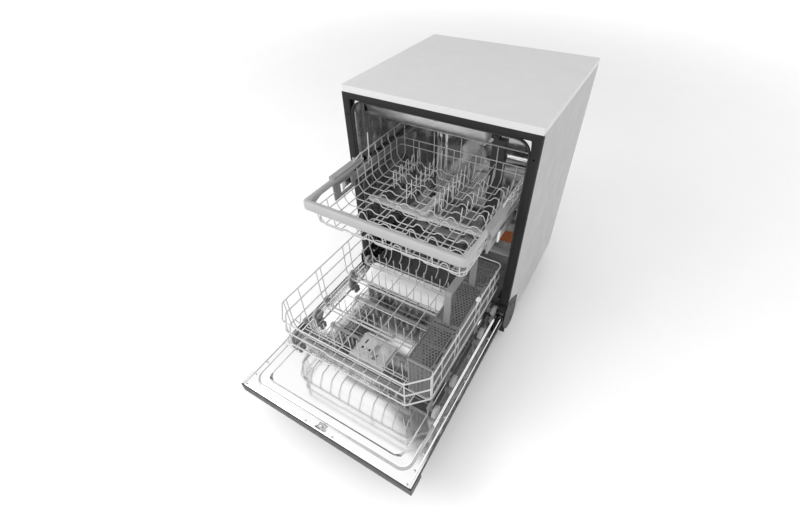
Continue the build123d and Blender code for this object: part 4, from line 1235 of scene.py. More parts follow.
def adjusters():
    """Height adjusters: a plate with a window, a carrier with rollers, a cap on each arm."""
    plates, rollers = Build(), Build()
    (wy0, wy1), (wz0, wz1) = at(-128, -70), (566.0, 600.0)
    for s in (-1, 1):
        y0, y1, z0, z1 = *ADJUST.y, ADJUST.z0, ADJUST.z1
        wide = span(s, ADJUST.x0, ADJUST.x1)
        for y, z in (((y0, wy0), (z0, z1)), ((wy1, y1), (z0, z1)), ((wy0, wy1), (z0, wz0)),
                     ((wy0, wy1), (wz1, z1))):
            plates.slab(wide, y, z)
        # rim of the window and ribs of the slide, on the inner side
        inner = span(s, ADJUST.x0 - 3.4, ADJUST.x0)
        tall = (wz0 - 2.4, wz1 + 2.4)
        for y, z in (((wy0 - 2.4, wy0), tall), ((wy1, wy1 + 2.4), tall),
                     ((wy0, wy1), (tall[0], wz0)), ((wy0, wy1), (wz1, tall[1]))):
            plates.slab(inner, y, z)
        for y in (y0 + 5, y0 + 12, y1 - 8):
            plates.slab(inner, (y, y + 2.2), (z0 + 4, z1 - 4))
        plates.slab(inner, (y0, y1), (z1 - 3, z1))
        carrier = span(s, 251.3, 255.7)
        plates.slab(carrier, at(-66, 210), (567, 570))
        plates.slab(carrier, at(-66, 210), (586, 589))
        plates.slab(span(s, 251.3, 252.6), at(-66, 210), (570, 586))
        for y in (-50, 10, 80, 150, 196):
            rollers.turned([(0, 252.6), (7.6, 252.7), (7.8, 253.4), (7.8, 255.2),
                            (7.2, 255.7), (3, 255.7), (2.6, 255.0), (0, 255.0)],
                           (0, FRONT + y, 578), "x", 24, way=s)
        plates.slab(span(s, 251.3, 254.5), at(-66, -60), (570, 586))
    caps = Build()
    for s in (-1, 1):
        # a broad shell caps each arm and comes down outside the plate
        cap = rounded(*span(s, 236.5, 257.5), ADJUST.y0 - 4, FRONT - 22, 5, 4)
        caps.prism(cap, "z", RIM.z1 - 15, RIM.z1 + 1.6)
        for y in (ADJUST.y0 + 6, ADJUST.y1 - 9):
            caps.slab(span(s, 240, 254), (y, y + 3), (RIM.z1 + 1.5, RIM.z1 + 2.6))
        caps.slab(span(s, 251.6, 257), (ADJUST.y0 + 2, ADJUST.y1 + 6), (RIM.z1 - 34, RIM.z1 - 15))
    piece("arm_caps", caps, CAP_GREY, "upper_rack", bevel=1.2)
    piece("height_adjusters", plates, CAP_GREY, "upper_rack", "rack_adjusters",
          slot="dark_plastic", bevel=0.5)
    piece("adjuster_rollers", rollers, WHITE_PLASTIC, "upper_rack")


def feed_tube():
    """The pipe under the upper rack, with the hub of its spray arm and its docking mouth."""
    b = box("upper_feed_tube")
    hub_y = FRONT - 34.0
    tube = Build()
    z_mid, half = 524.5, 4.6
    outline = rounded(-13.6, 13.6, z_mid - half, z_mid + half, 4.2, 5)
    tube.prism(outline, "y", hub_y - 14, b.y1 - 16)
    tube.turned([(0, b.z0), (6.6, b.z0), (6.9, b.z0 + 1), (6.9, z_mid - half - 4),
                 (16, z_mid - half - 1), (17.5, z_mid - half + 1), (17.5, z_mid + half - 2.5),
                 (14, z_mid + half + 0.2), (0, z_mid + half + 0.2)], (0, hub_y, 0), "z", 32)
    tube.turned([(9.5, b.y1 - 18), (9.5, b.y1 - 3), (7.5, b.y1), (5.5, b.y1), (5.5, b.y1 - 4),
                 (0, b.y1 - 4)], (0, 0, z_mid), "y", 24)
    for y in (40, 110, 170):
        tube.slab((-15.5, 15.5), at(y, y + 7), (z_mid - half - 0.8, z_mid + half + 0.8))
    piece("upper_feed_pipe", tube, ARM_GREY, "upper_rack", "upper_feed_tube", bevel=0.5)


# ---- lower rack ----
LOW_FLOOR = 215.0
ROW_FRONT, ROW_REAR = box("fold_tine_row_front"), box("fold_tine_row_rear")


def loop_path(x, front, rear, cut, z, kink=None):
    """A loop with its two front corners cut off; kink is (place, depth) of a step in front."""
    right = [(x - cut, front, z), (x, front + cut, z), (x, rear, z), (0.0, rear, z)]
    if not kink:
        return mirrored(right)
    place, low = kink[0], z - kink[1]
    return mirrored(right)[:4] + [(place - 8, front, z), (place + 8, front, low),
                                  (x - cut, front, low), (x, front + cut, low),
                                  (x, front + cut + 60, z), *right[2:]]


def lower_wires():
    """Three loops, paired uprights that turn under the floor, long wires and fixed tines."""
    b = box("lower_rack_wires")
    x, front, rear, floor = 249.6, b.y0 + 2.4, b.y1 - 2.4, LOW_FLOOR
    cut, r_loop, r_wire = 50.0, 2.2, 1.75
    wires = Build()
    for z, kink in ((372.8, None), (326.0, (-52.0, 8.0)), (270.0, None)):
        wires.tube(bent(loop_path(x, front, rear, cut, z, kink), 16, 4), r_loop, 10,
                   soft_ends=False)
    inner, near, far = x - 4.2, front + 4.2, rear - 4.2
    cross = floor - 3.6         # the cross wires lie under the long ones

    # uprights of the sides come in pairs, and turn under into the cross wires of the floor
    for high_y, low_y in ((-436, -430), (-385, -400), (-302, -307), (-281, -290), (-165, -154),
                          (-132, -130), (-62, -62), (-20, -24)):
        y, under = FRONT + high_y, FRONT + low_y
        half = [(inner - 26, under, cross), (inner - 12, (y + under) / 2, floor + 10),
                (inner, y, 264), (inner, y, 374)]
        wires.tube(bent(mirrored(half), 10, 3), r_wire, 8)
    wires.tube(mirrored([(inner - 30, FRONT - 223, cross)]), r_wire, 8)

    # long floor wires rise to the loops at both ends, with short ones between them in front
    for k, px in enumerate((-170, -90, -18, 70, 146)):
        run = [(px, near, 328 if k == 3 else 272), (px, near, 258), (px, near + 20, floor + 5),
               (px, near + 38, floor), (px, far - 26, floor), (px, far - 8, floor + 12),
               (px, far, 262), (px, far, 374)]
        wires.tube(bent(run, 12, 3), r_wire, 8)
    for px in (-212, -130, -54, 26, 108, 190):
        dip = [(px, near, 272), (px, near, 256), (px, near + 22, floor + 2),
               (px, FRONT - 426, floor - 0.2)]
        wires.tube(bent(dip, 12, 3), r_wire, 8)
    for px in (-196, -128, -50, 26, 110, 190):
        wires.tube(bent([(px, far - 20, floor + 3), (px, far, floor + 20), (px, far, 328)], 10),
                   r_wire, 8)
    # corner uprights where the loops turn
    for s in (-1, 1):
        for px, py in ((x - cut, 0.0), (x, cut)):
            run = [(s * (px - 3), near + py, 374), (s * (px - 3), near + py, 262),
                   (s * (px - 26), near + py + 22, floor)]
            wires.tube(bent(run, 12, 3), r_wire, 8)
        hang = [(s * (x - 2), front + cut + 24, 270), (s * (x - 6), front + cut + 34, 240),
                (s * (x - 4), front + cut + 46, 270)]
        wires.tube(bent(hang, 5, 3), r_wire, 8)

    # fixed tines stand on doubled base wires
    base = floor + 3.4
    for y, tall in ((FRONT - 408, 78), (FRONT - 60, 70)):
        for dy in (-4.5, 4.5):
            wires.tube([(-232, y + dy, base), (160, y + dy, base)], r_wire, 8)
        for px in range(-206, 160, 31):
            tine = [(px - 1, y - 4, base), (px, y, base + 4), (px, y - 2, base + tall)]
            wires.tube(bent(tine, 4), 1.6, 8)
    for y in (ROW_FRONT.y0 - 7.5, ROW_REAR.y0 - 7.5):
        wires.tube([(-234, y, base - 0.2), (159, y, base - 0.2)], r_wire, 8)
    piece("lower_rack_basket", wires, WIRE, "lower_rack", "lower_rack_wires", sharp=60)


def tine_rows():
    """The two rows of tines that fold on their own wires."""
    for end, b in (("front", ROW_FRONT), ("rear", ROW_REAR)):
        y, z = b.mid_y, b.z0 + 2.0
        row = Build().tube([(b.x0, y, z), (b.x1, y, z)], 2.0, 10)
        for px in spread(-205, 129, 13):
            row.tube([(px, y, z + 1.4), (px, y, b.z1)], 1.6, 8)
        piece(f"folding_tines_{end}", row, WIRE, f"tines_{end}", f"fold_tine_row_{end}", sharp=60)


def clips_and_wheels():
    """Clips that hold the folding rows, the wheels' legs and axles, and four pairs of wheels."""
    floor = LOW_FLOOR
    clips = Build()
    for b in (ROW_FRONT, ROW_REAR):
        y, z = b.mid_y, b.z0 + 2.0
        for px in (-231, -110.5, 33.5, 152.5):
            hook = [(y - 6, floor + 1.8), (y - 6, z + 2), (y - 4.5, z + 4.6), (y - 2, z + 5.4),
                    (y - 2, z + 2.2), (y + 2.2, z + 2.2), (y + 2.2, z + 5.4), (y + 4.5, z + 4.6),
                    (y + 6, z + 2), (y + 6, floor + 1.8)]
            clips.prism(hook, "x", px - 3.5, px + 3.5)
    # dark retainers on the left wall where the rows' wires end
    for y in (-396, -290, -145):
        clips.slab((-245, -236), (FRONT + y - 8, FRONT + y + 8), (230, 246))
        clips.slab((-236, -232), (FRONT + y - 6, FRONT + y + 6), (228, 238))
    wheel_r = 19.0
    wheels = [box(f"lower_rack_wheels_{n}") for n in (1, 2, 3, 4)]
    for b in wheels:
        y, z = b.mid_y, b.mid_z
        for s in (-1, 1):
            leg = [(y - 15, z + 2), (y - 15, floor - 7), (y + 15, floor - 7), (y + 15, z + 2),
                   (y + 8, z - 9), (y - 8, z - 9)]
            clips.prism(leg, "x", *span(s, 240.5, 244))
            clips.slab(span(s, 236, 240.5), about(y, 12), (floor - 9, floor - 6))
            clips.turned([(0, 243.5), (7, 243.5), (6, 246), (4, 250), (4, 266.3), (0, 266.6)],
                         (0, y, z), "x", 20, way=s)
    piece("rack_clips_and_axles", clips, CLIP_GREY, "lower_rack", "lower_rack_clips",
          bevel=0.5, sharp=40)
    for n, b in enumerate(wheels, 1):
        y, z = b.mid_y, b.mid_z
        wheel = Build()
        for s in (-1, 1):
            wheel.turned([(4.1, 254.5), (7, 254.5), (7.4, 256.6), (14.5, 256.8), (15.2, 254.7),
                          (18.4, 254.7), (wheel_r, 255.6), (wheel_r, 264.4), (18.4, 265.4),
                          (15.2, 265.4), (14.5, 263.2), (7.4, 263.4), (7, 265.5), (4.1, 265.5),
                          (4.1, 254.5)], (0, y, z), "x", 40, way=s)
            for dy, dz in circle(11, 5):
                wheel.turned([(1.5, 256.0), (1.5, 264.0)], (0, y + dy, z + dz), "x", 8, way=s)
        piece(f"rack_wheels_{n}", wheel, WHEEL_GREY, f"wheels_{n}", f"lower_rack_wheels_{n}",
              sharp=40)


# ---- cutlery basket ----
def honeycomb(build, x, y, z, pitch, share, thick_rim):
    """A level grid of six-sided holes, framed by a rim, one sheet thick."""
    (x0, x1), (y0, y1) = x, y
    x0, x1, y0, y1 = x0 + thick_rim, x1 - thick_rim, y0 + thick_rim, y1 - thick_rim
    columns = max(1, round((x1 - x0) / pitch))
    rows = max(1, round((y1 - y0) / (pitch * 0.87)))
    dx, dy = (x1 - x0) / columns, (y1 - y0) / rows
    for j in range(rows):
        shift = dx / 2 if j % 2 else 0.0
        for i in range(columns + (0 if j % 2 == 0 else -1)):
            cx, cy = x0 + dx * (i + 0.5) + shift, y0 + dy * (j + 0.5)
            outer, inner = [], []
            for k in range(6):
                a = pi / 6 + pi / 3 * k
                ox, oy = cx + dx / 1.732 * cos(a), cy + dy / 1.5 * sin(a)
                outer.append((min(max(ox, x0), x1), min(max(oy, y0), y1), z))
                inner.append((cx + (ox - cx) * share, cy + (oy - cy) * share, z))
            build.add(outer + inner, [(k, (k + 1) % 6, 6 + (k + 1) % 6, 6 + k) for k in range(6)])


def basket():
    """The cutlery basket along the right side, with louvred walls and seven cross walls."""
    b, wall = BASKET, 2.0
    shell = Build()
    cells = spread(b.y0 + 1, b.y1 - 1, 7)
    # rims, corner posts and cross walls; the walls between them are louvred
    shell.slab(b.x, b.y, (b.z0, b.z0 + 2))
    for xx in ((b.x0, b.x0 + wall), (b.x1 - wall, b.x1)):
        shell.slab(xx, b.y, (b.z1 - 9, b.z1))
        shell.slab(xx, b.y, (b.z0 + 2, b.z0 + 12))
        for y in spread(b.y0 + 2.5, b.y1 - 2.5, 25):
            shell.slab(xx, about(y, 1.3), (b.z0 + 12, b.z1 - 9))
        thin = (xx[0] + 0.4, xx[1] - 0.4)
        for z in spread(b.z0 + 17, b.z1 - 14, 22):
            shell.slab(thin, (b.y0 + 2, b.y1 - 2), about(z, 1.1))
    for y in cells:
        yy = about(y, 1)
        shell.slab((b.x0 + wall, b.x1 - wall), yy, (b.z1 - 8, b.z1))
        shell.slab((b.x0 + wall, b.x1 - wall), yy, (b.z0 + 2, b.z0 + 10))
        for xx in spread(b.x0 + 5, b.x1 - 5, 5):
            shell.slab(about(xx, 1.2), yy, (b.z0 + 10, b.z1 - 8))
        for z in spread(b.z0 + 15, b.z1 - 13, 20):
            shell.slab((b.x0 + wall, b.x1 - wall), about(y, 0.5), about(z, 1.2))
    piece("cutlery_basket_body", shell, BASKET_GREY, "lower_rack", "cutlery_basket", bevel=0.3)
    # lighter moulded rim at the top of the front end
    collar = Build()
    collar.slab((b.x0 - 0.6, b.x1 + 0.6), (b.y0 - 0.8, b.y0 + 1.4), (b.z1 - 8, b.z1 + 0.2))
    collar.slab((b.x0 - 0.6, b.x0 + 0.1), (b.y0 - 0.8, b.y1), (b.z1 - 5, b.z1 + 0.2))
    piece("basket_collar", collar, STRAP_GREY, "lower_rack", bevel=0.4)
    # the front end: a lattice of louvres between two posts, on a foot
    grille = Build()
    front = (b.y0 - 0.9, b.y0 - 0.05)
    for x in ((b.x0, b.x0 + 4), (b.x1 - 4, b.x1)):
        grille.slab(x, (b.y0 - 1.4, b.y0 - 0.05), (b.z0, b.z1 - 8))
    for x in spread(b.x0 + 2, b.x1 - 2, 7)[1:-1]:
        grille.slab(about(x, 0.9), front, (b.z0 + 6, b.z1 - 8))
    for z in spread(b.z0 + 14, b.z1 - 17, 14):
        grille.slab((b.x0 + 4, b.x1 - 4), (b.y0 - 1.3, b.y0 - 0.95), about(z, 1.3))
    grille.slab((b.x0 - 1, b.x1 + 1), (b.y0 - 3, b.y0 - 0.05), (b.z0 - 1, b.z0 + 6))
    piece("basket_grille", grille, STRAP_GREY, "lower_rack")
    grid("front", "basket_lid_a", b)
    grid("rear", "basket_lid_b", b)
    strap(b)


def grid(end, body, b):
    """One of the basket's two lids: a honeycomb in a frame with three knuckles."""
    name, lid = f"basket_grid_{end}", box(f"basket_lid_{end}")
    top = Build()
    x1 = b.x1 - 6
    z = b.z1 + 3.0
    honeycomb(top, (b.x0, x1), lid.y, z, 9.6, 0.74, 3.0)
    piece(name, top, BASKET_GREY, body, f"basket_lid_{end}", thick=1.8)
    edge = Build()
    border(edge, (b.x0, x1), lid.y, 3.4, (z - 2.4, z + 0.3))
    mid = lid.mid_y
    edge.slab((b.x0 + 3.4, x1 - 3.4), about(mid, 1.2), (z - 2.4, z + 0.3))
    edge.slab(((b.x0 + x1) / 2 - 1.2, (b.x0 + x1) / 2 + 1.2), (lid.y0 + 3, lid.y1 - 3),
              (z - 2.2, z + 0.2))
    for y in spread(lid.y0 + 12, lid.y1 - 12, 3):
        edge.slab((x1 - 0.5, b.x1 - 2.5), about(y, 6), (b.z1 + 1.4, b.z1 + 3.2))
        edge.turned([(0, y - 7), (2.0, y - 7), (2.2, y - 6.6), (2.2, y + 6.6), (2.0, y + 7),
                     (0, y + 7)], (b.x1 - 2.5, 0, b.z1 + 3), "y", 16)
    piece(name + "_frame", edge, BASKET_GREY, body, bevel=0.4)


def strap(b):
    """The carrying strap: two legs and a bowed top on a bridge across the basket."""
    node = box("basket_handle")
    mid, wide = b.mid_x, 9.0
    y0, y1 = FRONT - 281.0, FRONT - 112.0
    z0, z1 = b.z1 + 5.3, node.z1
    legs = Build()
    outer = bent([(y0 - 3, z0, 0), (y0 - 3, z1 - 8, 0), (y0 + 5, z1, 0), (y1 - 5, z1, 0),
                  (y1 + 3, z1 - 8, 0), (y1 + 3, z0, 0)], 8, 4)
    inner = bent([(y1 - 3, z0, 0), (y1 - 3, z1 - 10, 0), (y1 - 8, z1 - 6, 0),
                  (y0 + 8, z1 - 6, 0), (y0 + 3, z1 - 10, 0), (y0 + 3, z0, 0)], 6, 4)
    outline = [(p[0], p[1]) for p in [*outer, *inner]]
    legs.prism(outline, "x", mid - wide, mid + wide)
    for s in (-1, 1):
        legs.slab(sorted((mid + s * wide, mid + s * (wide + 1.6))), (y0 + 2, y1 - 2),
                  (z1 - 5, z1 - 1))
    piece("basket_strap", legs, STRAP_GREY, "lower_rack", bevel=0.8)
    bridge = Build()
    bridge_y = at(-298, -95)
    honeycomb(bridge, b.x, bridge_y, b.z1 + 4.6, 9.6, 0.74, 4.0)
    piece("basket_bridge_grid", bridge, BASKET_GREY, "lower_rack", thick=2.0)
    edge = Build()
    z = (b.z1 + 0.4, b.z1 + 5.2)
    border(edge, b.x, bridge_y, 4.4, z)
    for y in (y0, y1):
        edge.slab((b.x0 + 4.4, b.x1 - 4.4), about(y, 6), z)
        edge.slab((mid - wide - 3, mid + wide + 3), about(y, 7), (z[1], z[1] + 4))
    piece("basket_bridge", edge, BASKET_GREY, "lower_rack", "basket_handle", bevel=0.5)
    clip = Build()
    clip.slab((244.2, 247.4), at(-168, -150), (352, 381))
    clip.slab((240, 252.6), at(-166, -152), (375.2, 378.4))
    piece("rack_side_clip", clip, WHITE_PLASTIC, "lower_rack", bevel=0.6)


# ---- base, feet and what is inside the base ----
def round_holes():
    """The hose and cable holes of the base's rear wall as (x, z, radius)."""
    def middle(node):
        b = box(node)
        return b.mid_x, b.mid_z
    return [(*middle("inlet_valve"), 14.8), (*middle("drain_connector"), 11.0),
            (-170.0, 108.0, 6.5)]


def base():
    """The base pan with its rear wall, the plinth, the feet and the counterweight."""
    tray, toe = box("base_tray"), box("toe_kick")
    wall, half, z0, z1 = 3.0, tray.x1, tray.z0, tray.z1
    side_top = 116.0
    floor, ys = z0 + wall, (tray.y1 - wall, tray.y1)
    pan = Build().slab(tray.x, tray.y, (z0, floor))
    for s in (-1, 1):
        pan.slab(span(s, half - wall, half), tray.y, (floor, side_top))
        for y in spread(tray.y0 + 30, tray.y1 - 40, 7):
            pan.slab(span(s, half - 12, half - wall), about(y, 1.2), (floor, side_top - 6))
    for x in spread(-240, 240, 9):
        pan.slab(about(x, 1.2), (tray.y0 + 4, ys[0]), (floor, floor + 6))
    # the rear wall as plates round square windows, each with a collar that makes it round
    collars, margin = round_holes(), 4.0
    marks = sorted({-half + wall, half - wall,
                    *(v for x, z, r in collars for v in (x - r - margin, x + r + margin))})
    for x0, x1 in zip(marks, marks[1:]):
        hole = [c for c in collars if abs((x0 + x1) / 2 - c[0]) < c[2]]
        if not hole:
            pan.slab((x0, x1), ys, (floor, z1))
            continue
        x, z, r = hole[0]
        pan.slab((x0, x1), ys, (floor, z - r - margin))
        pan.slab((x0, x1), ys, (z + r + margin, z1))
        ring = [(x + r * a, z + r * c) for a, c in circle(1.0, 32)]
        square = [(x + (r + margin) * a / max(abs(a), abs(c)),
                   z + (r + margin) * c / max(abs(a), abs(c))) for a, c in circle(1.0, 32)]
        points = [(a, y, c) for y in ys for a, c in ring + square]
        faces = []
        for k in range(32):
            n = (k + 1) % 32
            faces += [(k, n, 32 + n, 32 + k), (64 + n, 64 + k, 96 + k, 96 + n),
                      (n, k, 64 + k, 64 + n), (32 + k, 32 + n, 96 + n, 96 + k)]
        pan.add(points, faces)
        pan.turned([(r + 0.3, tray.y1), (r + 0.6, tray.y1 + 0.9), (r + 2.6, tray.y1 + 0.9),
                    (r + 3, tray.y1)], (x, 0, z), "y", 32)
    piece("base_pan", pan, BASE_PLASTIC, "cabinet", "base_tray")

    plinth = Build().slab(toe.x, (toe.y0 + 0.9, toe.y1), toe.z)
    plinth.slab((toe.x0 + 6, toe.x1 - 6), (toe.y0 + 0.3, toe.y0 + 0.9), (toe.z0 + 6, toe.z1 - 5))
    for x in (-262, 262):
        screw(plinth, (x, toe.y0 + 0.3, toe.z1 - 18), 4, "y", -0.7)
    piece("plinth_sheet", plinth, BLACK_PAINT, "cabinet", "toe_kick", bevel=0.4)

    studs, pads = Build(), Build()
    for x in (-262, 262):
        for y in at(80, 525):
            thread = [(4.9 - (k % 2), FEET.z0 + 20 + 1.3 * k) for k in range(31)]
            studs.turned([(4.9, FEET.z0 + 8), *thread, (4.9, FEET.z1)], (x, y, 0), "z", 20)
            nut = [(x + dx, y + dy) for dx, dy in circle(11, 6)]
            studs.prism(nut, "z", FEET.z0 + 12, FEET.z0 + 19)
            pads.turned([(0, FEET.z0), (17.5, FEET.z0), (19, FEET.z0 + 1.2), (19, FEET.z0 + 5),
                         (16, FEET.z0 + 8), (9, FEET.z0 + 11.9), (0, FEET.z0 + 11.9)],
                        (x, y, 0), "z", 36)
    piece("foot_studs", studs, ZINC, "cabinet", "levelling_feet")
    piece("foot_pads", pads, BASE_PLASTIC, "cabinet")

    b = box("counterweight")
    weight = Build()
    for x, y in ((b.x, (b.y0, FRONT + 478)), ((-100.0, b.x1), (FRONT + 478.2, b.y1))):
        weight.prism(rounded(*x, *y, 4), "z", b.z0, b.z1)
    piece("counterweight_block", weight, CAST, "cabinet", "counterweight", bevel=2.0)


def machinery():
    """Pumps, heater, hose and cable entries, the sump, and the ledges the lower rack rolls on."""
    # circulation pump with its finned motor, the water heater and the drain pump
    y, z = FRONT + 410.0, 103.0
    pump = Build().turned([(0, -60), (30, -60), (34, -56), (34, -30), (31, -29), (31, -16),
                           (34, -15), (34, 56), (28, 60), (0, 60)], (0, y, z), "x", 40)
    pump.turned([(0, -86), (22, -86), (24, -83), (24, -61)], (0, y, z), "x", 32)
    for dy, dz in circle(33, 20):
        pump.slab((-12, 52), (y + dy - 1, y + dy + 1), (z + dz - 1, z + dz + 1))
    pump.turned([(0, 180), (19, 180), (22, 184), (22, 326),
                 (19, 330), (0, 330)], (-170, FRONT, 98), "y", 32)
    for d in (200, 255, 310):
        pump.turned([(22, d), (23, d + 1), (23, d + 5), (22, d + 6)], (-170, FRONT, 98), "y", 32)
    piece("pump_and_heater", pump, DARK_PLASTIC, "cabinet", "circulation_pump")
    drain = Build().turned([(0, 250), (21, 250), (25, 255), (25, 300), (22, 302), (22, 328),
                            (18, 330), (18, 346), (15, 350), (0, 350)], (150, FRONT, 100), "y", 32)
    for dx, dz in circle(20, 6):
        drain.slab((148 + dx, 152 + dx), at(298, 332), (98 + dz, 102 + dz))
    piece("drain_pump_body", drain, DARK_PLASTIC, "cabinet", "drain_pump")

    # the two hose connections that stick out behind, threaded and ribbed for the hoses
    (x, z, _), (drain_x, drain_z, _), (cable_x, cable_z, cable_r) = round_holes()
    end = BACK - FRONT - 2.0
    valve = Build().prism(rounded(x - 25, x + 25, z - 22, z + 22, 4), "y",
                          FRONT + 500, FRONT + 536)
    valve.turned([(18, 535), (18, 544.4), (13.2, 544.5)], (x, FRONT, z), "y", 6)
    valve.turned([(0, 540)]
                 + [(13.2 - 0.9 * (k % 2), 546 + 1.3 * k) for k in range(15)]
                 + [(12.4, end - 0.8), (9.6, end), (9.4, end - 6), (0, end - 6)],
                 (x, FRONT, z), "y", 40)
    piece("inlet_thread", valve, WHITE_PLASTIC, "cabinet", "inlet_valve")
    spigot = Build().turned([(0, 505), (13, 505), (13, 544.4), (9.5, 544.6), (9.5, 550),
                             (8.6, 551), (9.5, 555), (8.6, 556), (9.5, 560), (8.6, 561),
                             (9.4, end - 1), (8.8, end), (7, end), (6.8, end - 12), (0, end - 12)],
                            (drain_x, FRONT, drain_z), "y", 36)
    piece("drain_spigot", spigot, DARK_PLASTIC, "cabinet", "drain_connector")

    b = box("junction_box")
    case = Build().prism(rounded(*b.x, *b.z, 4), "y", b.y0, b.y1 - 6)
    case.prism(rounded(b.x0 + 3, b.x1 - 3, b.z0 + 3, b.z1 - 3, 3), "y", b.y1 - 6, b.y1)
    case.turned([(cable_r - 0.6, b.y1), (cable_r - 0.6, BACK - 24.0), (cable_r - 1.6, BACK - 22),
                 (3.6, BACK - 22), (3.4, BACK - 26), (0, BACK - 26)],
                (cable_x, 0, cable_z), "y", 28)
    piece("junction_case", case, DARK_PLASTIC, "cabinet", "junction_box", bevel=0.6)

    b = box("air_break_chamber")
    tank = Build().prism(rounded(*b.y, *b.z, 16), "x", b.x0 + 3, b.x1)
    for z in spread(b.z0 + 40, b.z1 - 40, 7):
        tank.slab((b.x0 + 0.4, b.x0 + 3), (b.y0 + 16, b.y1 - 40 * (int(z) % 2)), about(z, 1.5))
    piece("air_break_body", tank, WHITE_PLASTIC, "cabinet", "air_break_chamber", bevel=1.5)

    b = box("sump")
    bowl = Build()
    y0, y1 = FRONT + 105.0, FRONT + 365.0
    rim, well = b.z1, 8.0
    top = TUB.z0 - 0.1
    bowl.slab((-120, 120), (y0, y1), (b.z0, b.z0 + well))
    for s in (-1, 1):
        bowl.slab(span(s, 100, 120), (y0, y1), (b.z0 + well, top - 1))
    for y in ((y0, y0 + 20), (y1 - 20, y1)):
        bowl.slab((-100, 100), y, (b.z0 + well, top - 1))
    hub = (0, FRONT + 285.0, 0)
    bowl.turned([(20, b.z0 + well), (20, 160), (18, 168), (7, 169), (7, rim - 1.5),
                 (5.5, rim), (0, rim)], hub, "z", 28)
    cup = box("filter_cartridge")
    bowl.turned([(40, b.z0 + well), (40, b.z0 + well + 4), (37.5, b.z0 + well + 4),
                 (37.5, b.z0 + well)], (cup.mid_x, cup.mid_y, 0), "z", 36)
    piece("sump_bowl", bowl, DARK_PLASTIC, "cabinet", "sump", bevel=0.6)

    tracks = Build()
    b = box("lower_rack_tracks")
    y0, y1 = b.y0, b.y1
    for s in (-1, 1):
        tracks.slab(span(s, 252, b.x1), (y0 + 8, y1), (b.z0 + 3, LINER.z1 - 0.3))
        tracks.slab(span(s, 252, 253), (y0 + 8, y1), (b.z0, b.z0 + 3))
        ramp = [(y0, b.z0 + 1), (y0 + 8, LINER.z1 - 0.3), (y0 + 8, b.z0 + 3)]
        tracks.prism(ramp, "x", *span(s, 252, b.x1))
        guard = [(s * b.x1, 217.9), (s * 253, 217.9), (s * 252, 216.5), (s * 252, 214.2),
                 (s * 253.2, 214.2), (s * 253.6, 216.6), (s * b.x1, 216.6)]
        tracks.prism(guard, "y", y0, y1)
    piece("rack_track_ledges", tracks, TUB_STEEL, "cabinet", "lower_rack_tracks", bevel=0.3)

    b = box("floor_label")
    patch = Build().prism(rounded(*b.x, *b.y, 3), "z", b.z0, b.z1)
    patch.prism(rounded(b.x0 + 5, b.x1 - 5, b.y0 + 5, b.y1 - 5, 2), "z", b.z1, b.z1 + 0.12)
    piece("floor_patch", patch, ORANGE, "cabinet", "floor_label")


# ---- the object ----
casing()
front_frame()
tub()
tub_fittings()
door()
upper_rim()
upper_wires()
adjusters()
feed_tube()
spray_arm("upper_wash_arm", "upper_spray_arm", "upper_arm", (30, 58, 86, 114, 142, 170, 196))
spray_arm("lower_wash_arm", "lower_spray_arm", "lower_arm", (34, 62, 92, 122, 152, 182, 208))
lower_wires()
tine_rows()
clips_and_wheels()
basket()
base()
machinery()


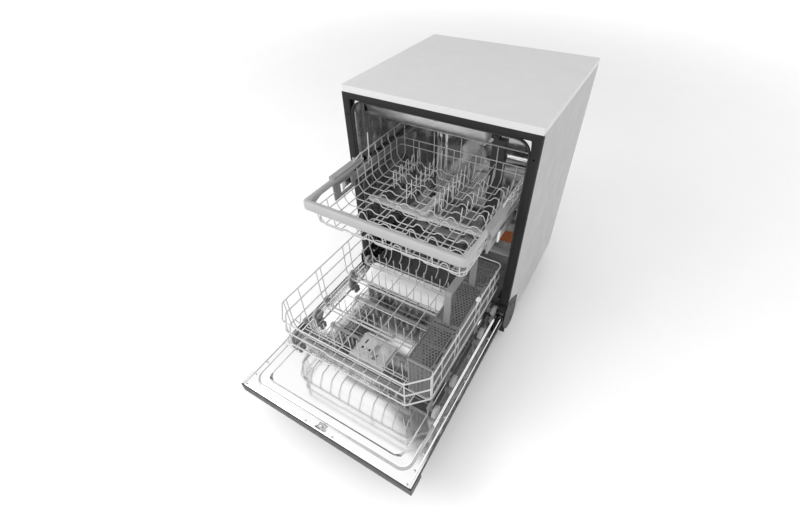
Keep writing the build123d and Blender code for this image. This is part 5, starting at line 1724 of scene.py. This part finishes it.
# ---- floor, light and camera ----
def studio():
    """A white surround and floor, a key light, a strip light, and a card for the steel."""
    world = bpy.context.scene.world or bpy.data.worlds.new("world")
    bpy.context.scene.world = world
    world.use_nodes = True
    background = world.node_tree.nodes["Background"]
    background.inputs["Color"].default_value = (1, 1, 1, 1)
    background.inputs["Strength"].default_value = 1.3

    look = material("studio_floor", None, grey(0.93), 0.75, vary=0.01, patch=3, grain=60,
                    bump=0.05, specular=0.1)
    mesh = bpy.data.meshes.new("studio_floor")
    far = 12.0
    mesh.from_pydata([(-far, -far, 0), (far, -far, 0), (far, far, 0), (-far, far, 0)], [],
                     [(0, 1, 2, 3)])
    mesh.materials.append(look)
    floor = bpy.data.objects.new("studio_floor", mesh)
    bpy.context.scene.collection.objects.link(floor)

    # a soft key light from the left front, and a narrow strip light over the back
    staged = [floor]
    for name, spot, aim, size, power in (
            ("key_light", (-2.0, -2.2, 2.6), (0.0, -0.1, 0.4), (1.6, 1.6), 40),
            ("strip_light", (-2.02, 1.6, 2.96), (-2.02, 1.6, 0.0), (0.26, 1.0), 1.6)):
        lamp = bpy.data.lights.new(name, "AREA")
        lamp.shape, (lamp.size, lamp.size_y), lamp.energy = "RECTANGLE", size, power
        obj = bpy.data.objects.new(name, lamp)
        obj.location = spot
        obj.rotation_euler = (Vector(aim) - Vector(spot)).to_track_quat("-Z", "Y").to_euler()
        staged.append(obj)
    # a dark card above and behind, for the steel to reflect
    card_look = material("studio_card", None, grey(0.03), 0.9, patch=2, grain=40, specular=0.0)
    mesh = bpy.data.meshes.new("studio_card")
    edge = [(-3.2, 0.84), (-1.1, 0.84), (-0.26, 0.43), (0.2, 0.43), (0.3, 0.84), (1.6, 0.84),
            (1.6, 4.4), (-3.2, 4.4)]
    mesh.from_pydata([(x, y, 3.0) for x, y in edge], [], [tuple(range(len(edge)))])
    mesh.materials.append(card_look)
    staged.append(bpy.data.objects.new("studio_card", mesh))
    for obj in staged[1:]:
        obj.visible_camera = False
        bpy.context.scene.collection.objects.link(obj)


def camera():
    """Above and to the right of the open door, looking down and to the left."""
    yaw, pitch, roll = radians(-31.29), radians(-43.53), radians(-1.35)
    ahead = Vector((sin(yaw) * cos(pitch), cos(yaw) * cos(pitch), sin(pitch)))
    across = Vector((cos(yaw), -sin(yaw), 0))
    up = across.cross(ahead)
    right = cos(roll) * across + sin(roll) * up
    up = cos(roll) * up - sin(roll) * across
    lens = bpy.data.cameras.new("camera")
    lens.sensor_width, lens.lens = 36.0, 18.45
    lens.shift_x, lens.shift_y = -0.01625, -0.0016
    lens.clip_start = 0.01
    obj = bpy.data.objects.new("camera", lens)
    turn = Matrix((right, up, -ahead)).transposed().to_4x4()
    obj.matrix_world = Matrix.Translation((0.497, -0.8964, 1.277)) @ turn
    bpy.context.scene.collection.objects.link(obj)
    bpy.context.scene.camera = obj


studio()
camera()
bpy.context.scene.view_settings.view_transform = "Standard"
